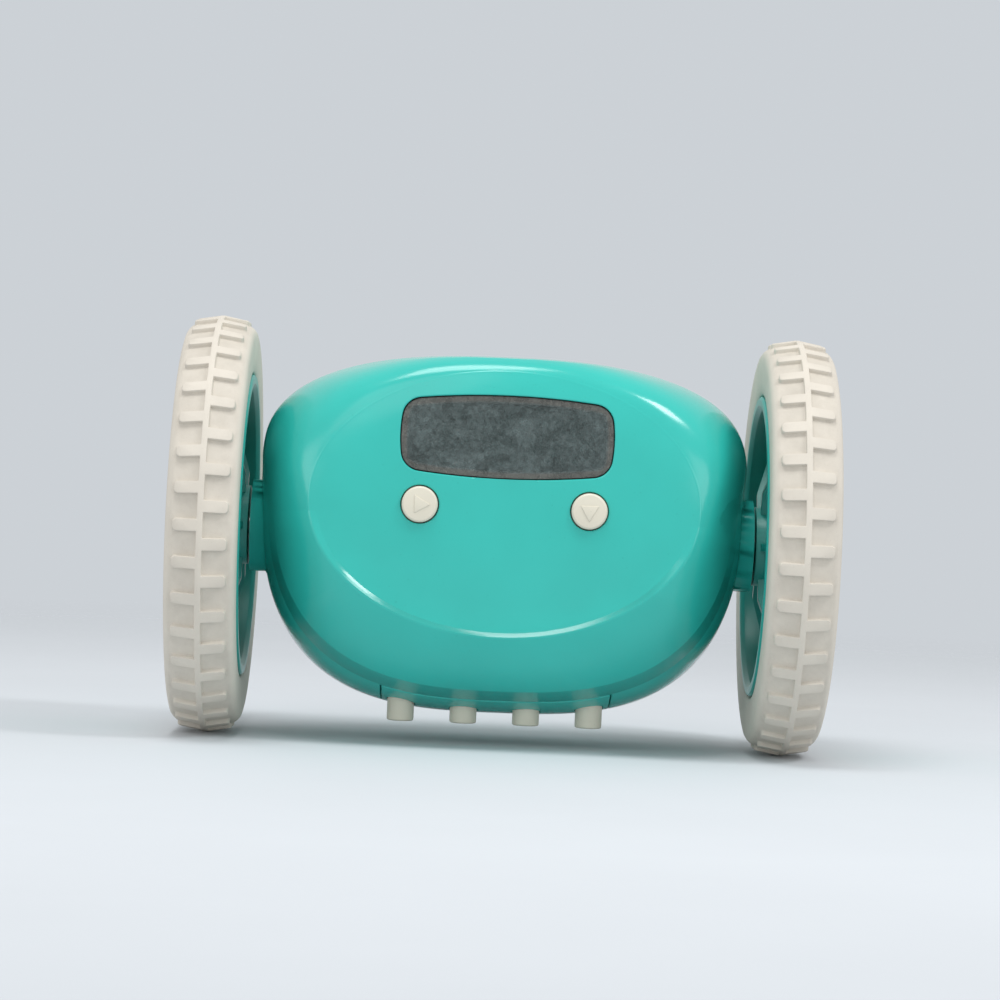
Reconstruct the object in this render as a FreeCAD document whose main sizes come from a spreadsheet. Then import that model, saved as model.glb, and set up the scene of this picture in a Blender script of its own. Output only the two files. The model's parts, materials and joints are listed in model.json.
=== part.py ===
import FreeCAD, Part
import Sketcher
import math
import os
import re
from FreeCAD import Placement, Rotation, Vector

# Runaway alarm clock: a rounded clamshell body hung between two large rubber-tyred wheels.
# Lengths are millimetres. X runs along the axle, the face looks towards -Y and Z is up.
# The origin is on the floor, under the middle of the axle.

doc = FreeCAD.newDocument("alarm_clock")
sheet = doc.addObject("Spreadsheet::Sheet", "sizes")
SHEET_ROWS = (
    ("wheel_diameter", 88.9, "over the tread lugs"),
    ("wheel_width", 14.6, "across one tyre"),
    ("collar_reach", 53.4, "from the middle to the outer face of a body collar"),
    ("wheel_gap", 0.6, "between a collar and its wheel"),
    ("collar_radius", 9.8, "body collar round the axle"),
    ("tread_height", 1.05, "height of lugs and centre rib"),
    ("rib_width", 1.9, "centre rib of the tread"),
    ("lug_reach", 5.6, "from the tyre's middle to a lug's outer end"),
    ("lug_thickness", 2.45, "lug along the tread"),
    ("lug_clip", 0.5, "corner taken off a lug's outer end"),
    ("lug_count", 36, "lugs in one row"),
    ("shoulder_drop", 2.0, "from the tread down to the top of the sidewall"),
    ("tyre_wall", 2.8, "rubber of the hollow tyre"),
    ("seat_radius", 31.0, "rim where the tyre sits"),
    ("lip_height", 1.1, "rim lip over the tyre seat"),
    ("lip_width", 1.2, "rim lip along the axle"),
    ("rim_wall", 1.9, "barrel of the rim"),
    ("web_place", 1.0, "inner face of the rim's web from the wheel's middle"),
    ("web_wall", 2.0, "web of the rim"),
    ("hub_radius", 8.4, "boss of the rim"),
    ("hub_outer", 4.6, "outer end of the boss from the wheel's middle"),
    ("spoke_count", 6, "ribs behind the web"),
    ("spoke_wall", 1.5, "rib behind the web"),
    ("cap_radius", 10.2, "hub cap"),
    ("cap_rise", 2.4, "hub cap over the boss"),
    ("shaft_radius", 2.0, "drive shaft"),
    ("running_gap", 0.04, "shaft in its bearing, on the radius"),
    ("seat_gap", 0.02, "pressed or keyed pieces, on the radius"),
    ("fit_gap", 0.1, "between pieces that rest on each other"),
    ("panel_gap", 0.25, "seam round a panel, lens or door"),
    ("body_half_width", 51.65, "widest place of the body from its middle"),
    ("shoulder_level", 14.5, "height of the widest place over the axle"),
    ("crown_height", 23.5, "from the widest place up to the top"),
    ("keel_depth", 52.4, "from the widest place down to the underside"),
    ("crown_power", 2.6, "roundness of the upper outline"),
    ("keel_power", 3.0, "roundness of the lower outline"),
    ("front_depth", 31.0, "from the parting plane to the edge of the face"),
    ("back_depth", 30.0, "from the parting plane to the flat back"),
    ("face_dome", 1.6, "middle of the face proud of its edge"),
    ("shell_wall", 2.0, "plastic of both shells"),
    ("face_half_width", 40.3, "raised face"),
    ("face_half_height", 27.4, "raised face"),
    ("face_level", 6.6, "middle of the raised face over the axle"),
    ("back_half_width", 38.0, "flat back"),
    ("back_half_height", 28.0, "flat back"),
    ("back_level", 1.5, "middle of the flat back over the axle"),
    ("crease_sharp", 0.095, "how much the smile edge keeps of its corner"),
    ("window_half_width", 22.0, "display window"),
    ("window_half_height", 7.2, "display window at its ends"),
    ("window_bow", 1.4, "bow of the window's long edges"),
    ("window_end_bow", 0.9, "bow of the window's short edges"),
    ("window_corner", 4.2, "corner radius of the window"),
    ("window_level", 20.5, "middle of the window over the axle"),
    ("window_wall", 1.5, "clear lens"),
    ("eye_offset", 17.4, "eye button from the middle"),
    ("eye_level", 6.1, "eye button over the axle"),
    ("eye_radius", 3.7, "eye button"),
    ("eye_proud", 1.0, "eye button over the face"),
    ("eye_stroke", 0.8, "travel of an eye button"),
    ("flange_step", 0.7, "retaining flange round a button"),
    ("frame_half_width", 24.0, "display frame"),
    ("frame_half_height", 9.7, "display frame"),
    ("frame_depth", 2.0, "display frame behind the lens"),
    ("panel_depth", 1.8, "liquid crystal panel"),
    ("light_depth", 2.4, "backlight"),
    ("board_wall", 1.6, "printed circuit boards"),
    ("board_half_width", 32.5, "main board"),
    ("board_top", 28.5, "top of the main board over the axle"),
    ("board_foot", -2.0, "foot of the main board from the axle"),
    ("switch_side", 6.0, "push switch"),
    ("switch_depth", 1.8, "push switch body"),
    ("plunger_radius", 1.6, "push switch plunger"),
    ("plunger_depth", 0.6, "push switch plunger"),
    ("key_panel_half", 24.0, "button panel from the middle to its end"),
    ("key_panel_front", 15.4, "button panel from the parting plane"),
    ("key_panel_rear", 1.2, "button panel from the parting plane"),
    ("key_pitch", 13.28, "between setting buttons"),
    ("key_radius", 2.85, "setting button"),
    ("key_place", 8.0, "setting buttons in front of the parting plane"),
    ("key_end", 39.9, "lower end of a setting button below the axle"),
    ("key_stroke", 0.8, "travel of a setting button"),
    ("key_board_level", 27.4, "underside of the setting board below the axle"),
    ("key_board_half", 27.0, "setting board"),
    ("cell_radius", 5.2, "battery cell"),
    ("cell_length", 44.5, "battery cell"),
    ("cell_pitch", 10.6, "between cells"),
    ("cell_place", 5.4, "first cells behind the parting plane"),
    ("cell_level", 25.7, "lower cells below the axle"),
    ("spring_length", 3.0, "contact spring under load"),
    ("box_wall", 0.8, "battery box"),
    ("door_half", 25.0, "battery door from the middle to its end"),
    ("door_front", 1.6, "battery door behind the parting plane"),
    ("door_rear", 22.6, "battery door behind the parting plane"),
    ("speaker_radius", 14.0, "loudspeaker"),
    ("speaker_level", 9.0, "loudspeaker over the axle"),
    ("speaker_depth", 9.0, "loudspeaker front to back"),
    ("slot_width", 1.6, "speaker slots in the back"),
    ("slot_pitch", 3.6, "between speaker slots"),
    ("slot_count", 5, "speaker slots"),
    ("gear_module", 0.5, "gear tooth size"),
    ("pinion_teeth", 10, "on the motor"),
    ("wheel_teeth", 36, "large gears"),
    ("small_teeth", 12, "small gear of the compound"),
    ("gear_face", 2.5, "width of the large gears"),
    ("box_inner", 29.0, "inner face of the gearbox from the middle"),
    ("box_plate", 1.5, "plates of the gearbox"),
    ("box_depth", 12.2, "gearbox along the axle"),
    ("box_margin", 1.0, "gearbox wall outside the gears"),
    ("idler_angle", -120.0, "from the axle to the compound gear"),
    ("motor_angle", 100.0, "from the compound gear to the motor"),
    ("idler_radius", 1.0, "pin of the compound gear and motor shaft"),
    ("motor_length", 25.0, "motor can"),
    ("motor_radius", 10.0, "motor can"),
    ("motor_flat", 15.0, "across the flats of the motor can"),
    ("bush_radius", 4.5, "bearing bush in a collar"),
    ("post_radius", 3.0, "screw post"),
    ("post_upper_x", 42.0, "upper screws from the middle"),
    ("post_upper_z", 20.0, "upper screws over the axle"),
    ("post_lower_x", 36.0, "lower screws from the middle"),
    ("post_lower_z", -25.0, "lower screws from the axle"),
    ("screw_radius", 1.3, "case screw"),
    ("screw_head", 2.6, "case screw head"),
    ("screw_length", 12.0, "case screw under its head"),
    ("screw_seat", 3.0, "plastic under a screw head"),
)
for row, (alias, number, note) in enumerate(SHEET_ROWS, start=1):
    sheet.set("A%d" % row, note)
    sheet.set("B%d" % row, str(number))
    sheet.setAlias("B%d" % row, alias)
doc.recompute()

ALIASES = {alias for alias, number, note in SHEET_ROWS}
pieces = []


def expr(text):
    """The text as an expression on the sheet."""
    return re.sub(r"[a-z_]+", lambda m: "sizes." + m[0] if m[0] in ALIASES else m[0], text)


def val(text):
    """The number that the text stands for."""
    return float(sheet.evalExpression(text))


AXLE = "wheel_diameter / 2"
WHEEL_MIDDLE = "collar_reach + wheel_gap + wheel_width / 2"


def bind(obj, name, text):
    obj.setExpression(name, expr(text))


def place(obj, x="0", y="0", z="0"):
    """Puts an object at a place given from the middle of the axle."""
    bind(obj, "Placement.Base.x", x)
    bind(obj, "Placement.Base.y", y)
    bind(obj, "Placement.Base.z", "%s + %s" % (AXLE, z))


def keep(obj, label):
    """Marks an object as a finished piece under its own name."""
    obj.Label = label
    pieces.append(obj)
    return obj


def fixed(name, shape, y="0", z="0"):
    """An object from a shape that was made round the middle of the axle."""
    obj = doc.addObject("Part::Feature", name + "_form")
    obj.Shape = shape
    place(obj, "0", y, z)
    return obj


def piece_of(label, shape):
    return keep(fixed(label, shape), label)


def mirrored(label, source):
    """The left-hand copy of a right-hand piece."""
    obj = doc.addObject("Part::Mirroring", label)
    obj.Source = source
    obj.Normal = Vector(1, 0, 0)
    obj.Base = Vector(0, 0, 0)
    return keep(obj, label)


def both_sides(name, right):
    keep(right, "right_" + name)
    mirrored("left_" + name, right)


# Helpers for bodies made from sketches

def new_body(name, x="0", y="0", z="0"):
    body = doc.addObject("PartDesign::Body", name)
    place(body, x, y, z)
    return body


def plane_sketch(body, role, name):
    sketch = body.newObject("Sketcher::SketchObject", name)
    plane = next(item for item in body.Origin.OriginFeatures if item.Role == role)
    sketch.AttachmentSupport = [(plane, "")]
    sketch.MapMode = "FlatFace"
    return sketch


def hold_point(sketch, edge, x, y):
    """Ties the start of an edge to its place by two bound distances."""
    for kind, text, axis in (("DistanceX", x, -2), ("DistanceY", y, -1)):
        if text == "0":
            sketch.addConstraint(Sketcher.Constraint("PointOnObject", edge, 1, axis))
            continue
        index = sketch.addConstraint(Sketcher.Constraint(kind, -1, 1, edge, 1, val(text)))
        bind(sketch, "Constraints[%d]" % index, text)


def polygon(sketch, corners):
    """A closed outline of straight edges through corners given as texts."""
    spots = [Vector(val(x), val(y), 0) for x, y in corners]
    count = len(corners)
    first = sketch.GeometryCount
    for i in range(count):
        sketch.addGeometry(Part.LineSegment(spots[i], spots[(i + 1) % count]))
    for i in range(count):
        following = first + (i + 1) % count
        sketch.addConstraint(Sketcher.Constraint("Coincident", first + i, 2, following, 1))
    for i, (x, y) in enumerate(corners):
        hold_point(sketch, first + i, x, y)


def turned(name, role, axis, corners, x="0", y="0", z="0"):
    """A body turned from one half section about the H or V axis of its sketch."""
    body = new_body(name, x, y, z)
    sketch = plane_sketch(body, role, name + "_section")
    polygon(sketch, corners)
    turn = body.newObject("PartDesign::Revolution", name + "_turn")
    turn.Profile = sketch
    turn.ReferenceAxis = (sketch, [axis])
    turn.Angle = 360
    doc.recompute()
    return body


def padded(body, sketch, name, length, midplane=False):
    pad = body.newObject("PartDesign::Pad", name)
    pad.Profile = sketch
    bind(pad, "Length", length)
    pad.Midplane = midplane
    doc.recompute()
    return pad


def ringed(body, feature, name, count):
    """Repeats a feature round the body's X axis."""
    ring = body.newObject("PartDesign::PolarPattern", name)
    ring.Originals = [feature]
    axis = next(item for item in body.Origin.OriginFeatures if item.Role == "X_Axis")
    ring.Axis = (axis, [""])
    ring.Angle = 360
    bind(ring, "Occurrences", count)
    body.Tip = ring
    doc.recompute()
    return ring


def block(name, x0, x1, y0, y1, z0, z1):
    """A rectangular block between limits given from the middle of the axle."""
    box = doc.addObject("Part::Box", name)
    bind(box, "Length", "(%s) - (%s)" % (x1, x0))
    bind(box, "Width", "(%s) - (%s)" % (y1, y0))
    bind(box, "Height", "(%s) - (%s)" % (z1, z0))
    place(box, x0, y0, z0)
    return box


def joined(name, parts):
    fuse = doc.addObject("Part::MultiFuse", name)
    fuse.Shapes = parts
    return fuse


def grouped(name, parts):
    group = doc.addObject("Part::Compound", name)
    group.Links = parts
    return group


# Body surface: an outline seen from the front that draws in to the face or to the flat back.

OUTLINE_STEPS = 32
DEPTH_STEPS = 7


def signed_power(value, power):
    return math.copysign(abs(value) ** power, value)


def outline_point(angle, inset):
    """A point of the widest outline, in X and Z from the middle of the axle."""
    upper = math.sin(angle) > 0
    power = 2 / val("crown_power" if upper else "keel_power")
    reach = val("crown_height" if upper else "keel_depth") - inset
    x = (val("body_half_width") - inset) * signed_power(math.cos(angle), power)
    z = val("shoulder_level") + reach * signed_power(math.sin(angle), power)
    return x, z


def oval_point(name, angle, inset, scale=1.0):
    """A point of the oval that bounds the face or the back."""
    x = (val(name + "_half_width") - inset) * scale * math.cos(angle)
    z = val(name + "_level") + (val(name + "_half_height") - inset) * scale * math.sin(angle)
    return x, z


def closed_curve(points):
    curve = Part.BSplineCurve()
    curve.interpolate(Points=points, PeriodicFlag=True)
    return Part.Wire(curve.toShape())


def section(name, depth, share, inset):
    """The body's outline at a share of the depth between the parting plane and the oval."""
    points = []
    for step in range(OUTLINE_STEPS):
        angle = 2 * math.pi * step / OUTLINE_STEPS
        lower = (1 - math.sin(angle)) / 2
        fullness = 0.995 - (val("crease_sharp") * lower if name == "face" else 0)
        draw = (1 - math.sqrt(1 - (fullness * share) ** 2)) / (1 - math.sqrt(1 - fullness ** 2))
        x0, z0 = outline_point(angle, inset)
        x1, z1 = oval_point(name, angle, inset)
        points.append(Vector(x0 + (x1 - x0) * draw, depth * share, z0 + (z1 - z0) * draw))
    return closed_curve(points)


def half_body(name, inset):
    """Solid half of the body, from the parting plane to the face or to the flat back."""
    side, depth = (-1, "front_depth") if name == "face" else (1, "back_depth")
    reach = side * (val(depth) - inset)
    wires = []
    for step in range(DEPTH_STEPS + 1):
        share = math.sin(math.pi / 2 * step / DEPTH_STEPS)
        wires.append(section(name, reach, share, inset))
    solid = Part.makeLoft(wires, True, False)
    if name == "face":
        rings = []
        for scale in (1.0, 0.8, 0.55, 0.25):
            proud = val("face_dome") * (1 - scale ** 2)
            points = []
            for step in range(OUTLINE_STEPS):
                x, z = oval_point(name, 2 * math.pi * step / OUTLINE_STEPS, inset, scale)
                points.append(Vector(x, reach - proud, z))
            rings.append(closed_curve(points))
        solid = solid.fuse(Part.makeLoft(rings, True, False)).removeSplitter()
    return solid


def cuboid(x0, x1, y0, y1, z0, z1):
    return Part.makeBox(x1 - x0, y1 - y0, z1 - z0, Vector(x0, y0, z0))


def fused(solid, additions):
    for addition in additions:
        solid = solid.fuse(addition)
    return solid


def opened(solid, openings):
    for opening in openings:
        solid = solid.cut(opening)
    return solid


def rod(axis, radius, start, end, across=(0, 0)):
    """A cylinder along X, Y or Z between two places on that axis."""
    if axis == "x":
        return Part.makeCylinder(radius, end - start, Vector(start, across[0], across[1]), Vector(1, 0, 0))
    if axis == "y":
        return Part.makeCylinder(radius, end - start, Vector(across[0], start, across[1]), Vector(0, 1, 0))
    return Part.makeCylinder(radius, end - start, Vector(across[0], across[1], start), Vector(0, 0, 1))


def window_prism(margin, y0, y1):
    """The display window's bowed outline as a prism, grown by a margin."""
    half_x = val("window_half_width") - val("window_end_bow") + margin
    half_z = val("window_half_height") + margin
    level = val("window_level")
    tall = half_z + val("window_bow")
    wide = half_x + val("window_end_bow")
    corners = [Vector(-half_x, y0, level - half_z), Vector(half_x, y0, level - half_z)]
    corners += [Vector(half_x, y0, level + half_z), Vector(-half_x, y0, level + half_z)]
    middles = [Vector(0, y0, level - tall), Vector(wide, y0, level)]
    middles += [Vector(0, y0, level + tall), Vector(-wide, y0, level)]
    edges = []
    for i in range(4):
        edges.append(Part.Arc(corners[i], middles[i], corners[(i + 1) % 4]).toShape())
    solid = Part.Face(Part.Wire(edges)).extrude(Vector(0, y1 - y0, 0))
    upright = [e for e in solid.Edges if abs(e.Vertexes[0].Y - e.Vertexes[-1].Y) > 0.5 * (y1 - y0)]
    return solid.makeFillet(val("window_corner") + margin, upright)


def door_prism(margin, top):
    """The battery door's outline as a prism; its rear edge leans so that the door can swing."""
    lean = 0.38
    level = -val("keel_depth - shoulder_level") + 4
    front = val("door_front") - margin
    rear = val("door_rear") + margin
    half = val("door_half") + margin
    corners = [(front, -FAR), (rear + lean * (level + FAR), -FAR)]
    corners += [(rear - lean * (top - level), top), (front, top)]
    wire = Part.makePolygon([Vector(-half, y, z) for y, z in corners + corners[:1]])
    return Part.Face(wire).extrude(Vector(2 * half, 0, 0))


outer_front = half_body("face", 0)
outer_back = half_body("back", 0)
hollow_front = half_body("face", val("shell_wall"))
hollow_back = half_body("back", val("shell_wall"))
FAR = 200.0
FRONT_SPACE = cuboid(-FAR, FAR, -FAR, 0, -FAR, FAR)
BACK_SPACE = cuboid(-FAR, FAR, 0, FAR, -FAR, FAR)

post_places = []
for side in (-1, 1):
    for height in ("upper", "lower"):
        post_places.append((side * val("post_%s_x" % height), val("post_%s_z" % height)))


def collars():
    """Both axle collars as whole cylinders, with their bush bores."""
    solids = []
    start = val("box_inner + box_depth + 3 * fit_gap")
    for side in (-1, 1):
        ends = sorted((side * start, side * val("collar_reach")))
        ring = rod("x", val("collar_radius"), ends[0], ends[1])
        solids.append(ring)
    return solids


def bush_bores():
    reach = val("collar_reach") + 1
    start = val("box_inner")
    radius = val("bush_radius + seat_gap")
    return [rod("x", radius, -reach, -start), rod("x", radius, start, reach)]


def key_positions():
    return [(i - 1.5) * val("key_pitch") for i in range(4)]


# Front shell
shell = outer_front.cut(hollow_front)
additions = [ring.common(FRONT_SPACE) for ring in collars()]
for x, z in post_places:
    post = rod("y", val("post_radius"), -FAR, 0, (x, z)).common(outer_front)
    pilot = rod("y", val("screw_radius") * 0.85, -val("screw_length"), 0, (x, z))
    additions.append(post.cut(pilot))
ledge_in = val("key_panel_half + 1.9")
ledge_out = val("key_board_half + 0.2")
ledge_top = -val("key_board_level + board_wall + fit_gap")
for side in (-1, 1):
    ends = sorted((side * ledge_in, side * ledge_out))
    ledge = cuboid(ends[0], ends[1], -val("key_panel_front"), -val("key_panel_rear"), -FAR, ledge_top)
    additions.append(ledge.common(outer_front))
shell = fused(shell, additions)
panel_seam = val("panel_gap")
openings = bush_bores()
openings.append(window_prism(0, -FAR, -val("front_depth") / 2))
for side in (-1, 1):
    spot = (side * val("eye_offset"), val("eye_level"))
    openings.append(rod("y", val("eye_radius + panel_gap"), -FAR, -val("front_depth") / 2, spot))
key_opening = cuboid(
    -val("key_panel_half") - panel_seam,
    val("key_panel_half") + panel_seam,
    -val("key_panel_front") - panel_seam,
    -val("key_panel_rear") + panel_seam,
    -FAR,
    ledge_top,
)
openings.append(key_opening)
piece_of("front_shell", opened(shell, openings))

# Rear shell
shell = outer_back.cut(hollow_back)
additions = [ring.common(BACK_SPACE) for ring in collars()]
for x, z in post_places:
    additions.append(rod("y", val("screw_head + 1.2"), 0, FAR, (x, z)).common(outer_back))
shell = fused(shell, additions)
openings = bush_bores()
for x, z in post_places:
    openings.append(rod("y", val("screw_radius") + 0.2, -1, FAR, (x, z)))
    openings.append(rod("y", val("screw_head") + 0.2, val("screw_seat"), FAR, (x, z)))
openings.append(door_prism(panel_seam, -val("cell_level")))
slot_total = int(val("slot_count"))
for i in range(slot_total):
    rise = (i - (slot_total - 1) / 2) * val("slot_pitch")
    half = math.sqrt(max((val("speaker_radius") - 3) ** 2 - rise ** 2, 4.0))
    z = val("speaker_level") + rise
    width = val("slot_width")
    near = val("back_depth") / 2
    openings.append(cuboid(-half, half, near, FAR, z - width / 2, z + width / 2))
    openings.append(rod("y", width / 2, near, FAR, (-half, z)))
    openings.append(rod("y", width / 2, near, FAR, (half, z)))
piece_of("rear_shell", opened(shell, openings))

# Display: clear lens, frame, liquid crystal panel and backlight, stacked behind the window
face_front = -val("front_depth + face_dome")
lens_sink = 0.35
lens = window_prism(-panel_seam, 2 * face_front, 0)
lens_front = outer_front.translated(Vector(0, lens_sink, 0))
lens_back = outer_front.translated(Vector(0, lens_sink + val("window_wall"), 0))
piece_of("display_window", lens.common(lens_front).cut(lens_back))

frame_back = "-front_depth + shell_wall + frame_depth"
frame_half_x = val("frame_half_width")
frame_half_z = val("frame_half_height")
level = val("window_level")
bezel = cuboid(
    -frame_half_x,
    frame_half_x,
    2 * face_front,
    val(frame_back),
    level - frame_half_z,
    level + frame_half_z,
)
snug_front = half_body("face", val("shell_wall + fit_gap"))
sight_x = val("window_half_width - 1.3")
sight_z = val("window_half_height - 0.4")
sight = cuboid(-sight_x, sight_x, 2 * face_front, 0, level - sight_z, level + sight_z)
piece_of("display_frame", bezel.common(snug_front).cut(sight))

panel_back = frame_back + " + fit_gap + panel_depth"
light_back = panel_back + " + fit_gap + light_depth"
board_front = light_back + " + fit_gap"
board_back = board_front + " + board_wall"
panel_x = "frame_half_width - 1"
panel_z = "frame_half_height - 0.8"
window_low = "window_level - (%s)" % panel_z
window_high = "window_level + (%s)" % panel_z
left_x = "-(%s)" % panel_x
panel_front = frame_back + " + fit_gap"
light_front = panel_back + " + fit_gap"
glass = block("lcd_block", left_x, panel_x, panel_front, panel_back, window_low, window_high)
keep(glass, "lcd_panel")
light = block("light_block", left_x, panel_x, light_front, light_back, window_low, window_high)
keep(light, "backlight")
board_left = "-board_half_width"
board_right = "board_half_width"
board = block("board_block", board_left, board_right, board_front, board_back, "board_foot", "board_top")
keep(board, "main_board")

# Button panel under the front, with the four setting buttons
panel_skin = outer_front.cut(half_body("face", val("shell_wall")))
panel_box = cuboid(
    -val("key_panel_half"),
    val("key_panel_half"),
    -val("key_panel_front"),
    -val("key_panel_rear"),
    -FAR,
    ledge_top,
)
flange_skin = snug_front.cut(half_body("face", val("shell_wall + fit_gap") + 1.0))
flange_box = cuboid(
    -val("key_panel_half") - 1.5,
    val("key_panel_half") + 1.5,
    -val("key_panel_front") - 1.5,
    -val("key_panel_rear") + panel_seam,
    -FAR,
    ledge_top,
)
bridge_skin = half_body("face", val("shell_wall") - 0.2).cut(half_body("face", val("shell_wall") + 0.5))
key_panel = panel_skin.common(panel_box)
key_panel = key_panel.fuse([bridge_skin.common(panel_box), flange_skin.common(flange_box)])
key_flange = "shoulder_level - keel_depth + shell_wall + 1.8"
for x in key_positions():
    spot = (x, -val("key_place"))
    key_panel = key_panel.cut(rod("z", val("key_radius + panel_gap"), -FAR, 0, spot))
    flat = val(key_flange + " - fit_gap")
    key_panel = key_panel.cut(rod("z", val("key_radius + flange_step + panel_gap"), flat, 0, spot))
piece_of("button_panel", key_panel.removeSplitter())

key_board_low = "-key_board_level - board_wall"
switch_tip = "%s - switch_depth - plunger_depth" % key_board_low
stem_top = "(%s) - key_stroke - fit_gap" % switch_tip
key_corners = (
    ("0", "-key_end"),
    ("key_radius - 0.3", "-key_end"),
    ("key_radius", "-key_end + 0.3"),
    ("key_radius", key_flange),
    ("key_radius + flange_step", key_flange),
    ("key_radius + flange_step", "(%s) + 0.8" % key_flange),
    ("1.4", "(%s) + 0.8" % key_flange),
    ("1.4", stem_top),
    ("0", stem_top),
)
KEY_NAMES = ("clock_button", "alarm_button", "hour_button", "minute_button")
for i, name in enumerate(KEY_NAMES):
    place_x = "%s * key_pitch" % (i - 1.5)
    keep(turned(name, "XZ_Plane", "V_Axis", key_corners, place_x, "-key_place"), name)
key_board = block(
    "key_board_block",
    "-key_board_half",
    "key_board_half",
    "-key_panel_front + 2.8",
    "-key_panel_rear - 0.4",
    key_board_low,
    "-key_board_level",
)
keep(key_board, "button_board")

# Eye buttons: a cap with a raised arrow, a flange inside the shell and a stem
eye_face = "-front_depth - face_dome * (1 - (eye_offset / face_half_width) ^ 2)"
eye_front = eye_face + " - eye_proud"
eye_flange = eye_face + " + shell_wall + 0.3"
eye_switch_tip = board_front + " - switch_depth - plunger_depth"
eye_stem = "(%s) - eye_stroke - fit_gap" % eye_switch_tip
eye_corners = (
    ("0", eye_front),
    ("eye_radius - 0.35", eye_front),
    ("eye_radius", "(%s) + 0.35" % eye_front),
    ("eye_radius", eye_flange),
    ("eye_radius + flange_step", eye_flange),
    ("eye_radius + flange_step", "(%s) + 1" % eye_flange),
    ("1.5", "(%s) + 1" % eye_flange),
    ("1.5", eye_stem),
    ("0", eye_stem),
)
ARROW = 2.1
for name, side, turn in (("left_eye_button", "-", 0), ("right_eye_button", "", -90)):
    body = turned(name, "XY_Plane", "V_Axis", eye_corners, side + "eye_offset", "0", "eye_level")
    arrow = plane_sketch(body, "XZ_Plane", name + "_arrow")
    corners = []
    for corner in (0, 120, 240):
        angle = math.radians(corner + turn)
        x = round(ARROW * math.cos(angle), 4)
        z = round(ARROW * math.sin(angle), 4)
        corners.append(("%s * eye_radius / 3.7" % x, "%s * eye_radius / 3.7" % z))
    polygon(arrow, corners)
    bind(arrow, "AttachmentOffset.Base.z", "-(%s) - 0.2" % eye_front)
    padded(body, arrow, name + "_relief", "0.4")
    keep(body, name)

# Push switches behind the eyes and over the setting buttons
switch_blocks = []
for index, side in enumerate(("-", "")):
    middle = side + "eye_offset"
    can = block(
        "eye_switch_can_%d" % index,
        middle + " - switch_side / 2",
        middle + " + switch_side / 2",
        board_front + " - switch_depth",
        board_front,
        "eye_level - switch_side / 2",
        "eye_level + switch_side / 2",
    )
    plunger = doc.addObject("Part::Cylinder", "eye_switch_plunger_%d" % index)
    bind(plunger, "Radius", "plunger_radius")
    bind(plunger, "Height", "plunger_depth")
    plunger.Placement = Placement(Vector(0, 0, 0), Rotation(Vector(1, 0, 0), 90))
    place(plunger, middle, board_front + " - switch_depth", "eye_level")
    switch_blocks.append(joined("eye_switch_%d" % index, [can, plunger]))
for i in range(4):
    middle = "%s * key_pitch" % (i - 1.5)
    can = block(
        "key_switch_can_%d" % i,
        middle + " - switch_side / 2",
        middle + " + switch_side / 2",
        "-key_place - switch_side / 2",
        "-key_place + switch_side / 2",
        key_board_low + " - switch_depth",
        key_board_low,
    )
    plunger = doc.addObject("Part::Cylinder", "key_switch_plunger_%d" % i)
    bind(plunger, "Radius", "plunger_radius")
    bind(plunger, "Height", "plunger_depth")
    place(plunger, middle, "-key_place", switch_tip)
    switch_blocks.append(joined("key_switch_%d" % i, [can, plunger]))
keep(grouped("switch_group", switch_blocks), "push_switches")

# Battery door, a piece of the rear shell's own skin with a finger latch at its rear edge
door_skin = outer_back.cut(hollow_back)
door = door_skin.common(door_prism(0, -val("cell_level")))
snug_back = half_body("back", val("shell_wall + fit_gap"))
tongue_skin = snug_back.cut(half_body("back", val("shell_wall + fit_gap") + 1.0))
neck_skin = half_body("back", val("shell_wall") - 0.3)
neck_skin = neck_skin.cut(half_body("back", val("shell_wall + fit_gap") + 1.0))
tongue_tip = val("door_front") - 1.4
for side in (-1, 1):
    ends = sorted((side * 8.0, side * 16.0))
    tongue = tongue_skin.common(cuboid(ends[0], ends[1], tongue_tip, val("door_front") + 2, -FAR, 0))
    neck = neck_skin.common(cuboid(ends[0], ends[1], val("door_front"), val("door_front") + 2, -FAR, 0))
    door = door.fuse([tongue, neck])
latch_half = 5.0
latch_depth = 7.0
latch_slot = 0.8
for side in (-1, 1):
    ends = sorted((side * latch_half, side * (latch_half + latch_slot)))
    door = door.cut(cuboid(ends[0], ends[1], val("door_rear") - latch_depth, FAR, -FAR, 0))
piece_of("battery_door", door)

# Battery box and four cells in two rows of two, each pair lying the opposite way round
room = val("cell_radius") + 0.3
box_front = val("cell_place") - room
box_back = val("cell_place + cell_pitch") + room
box_top = -val("cell_level") + val("cell_pitch") + room
box_half = val("cell_length / 2 + spring_length") + 0.6
wall = val("box_wall")
tray = cuboid(-box_half - wall, box_half + wall, box_front - wall, box_back + wall, -FAR, box_top + wall)
tray = tray.common(snug_back.fuse(snug_front))
tray = tray.cut(cuboid(-box_half, box_half, box_front, box_back, -FAR, box_top))
tray = tray.cut(door_prism(panel_seam, -val("cell_level + cell_radius") - 0.3))
piece_of("battery_box", tray)

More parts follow.
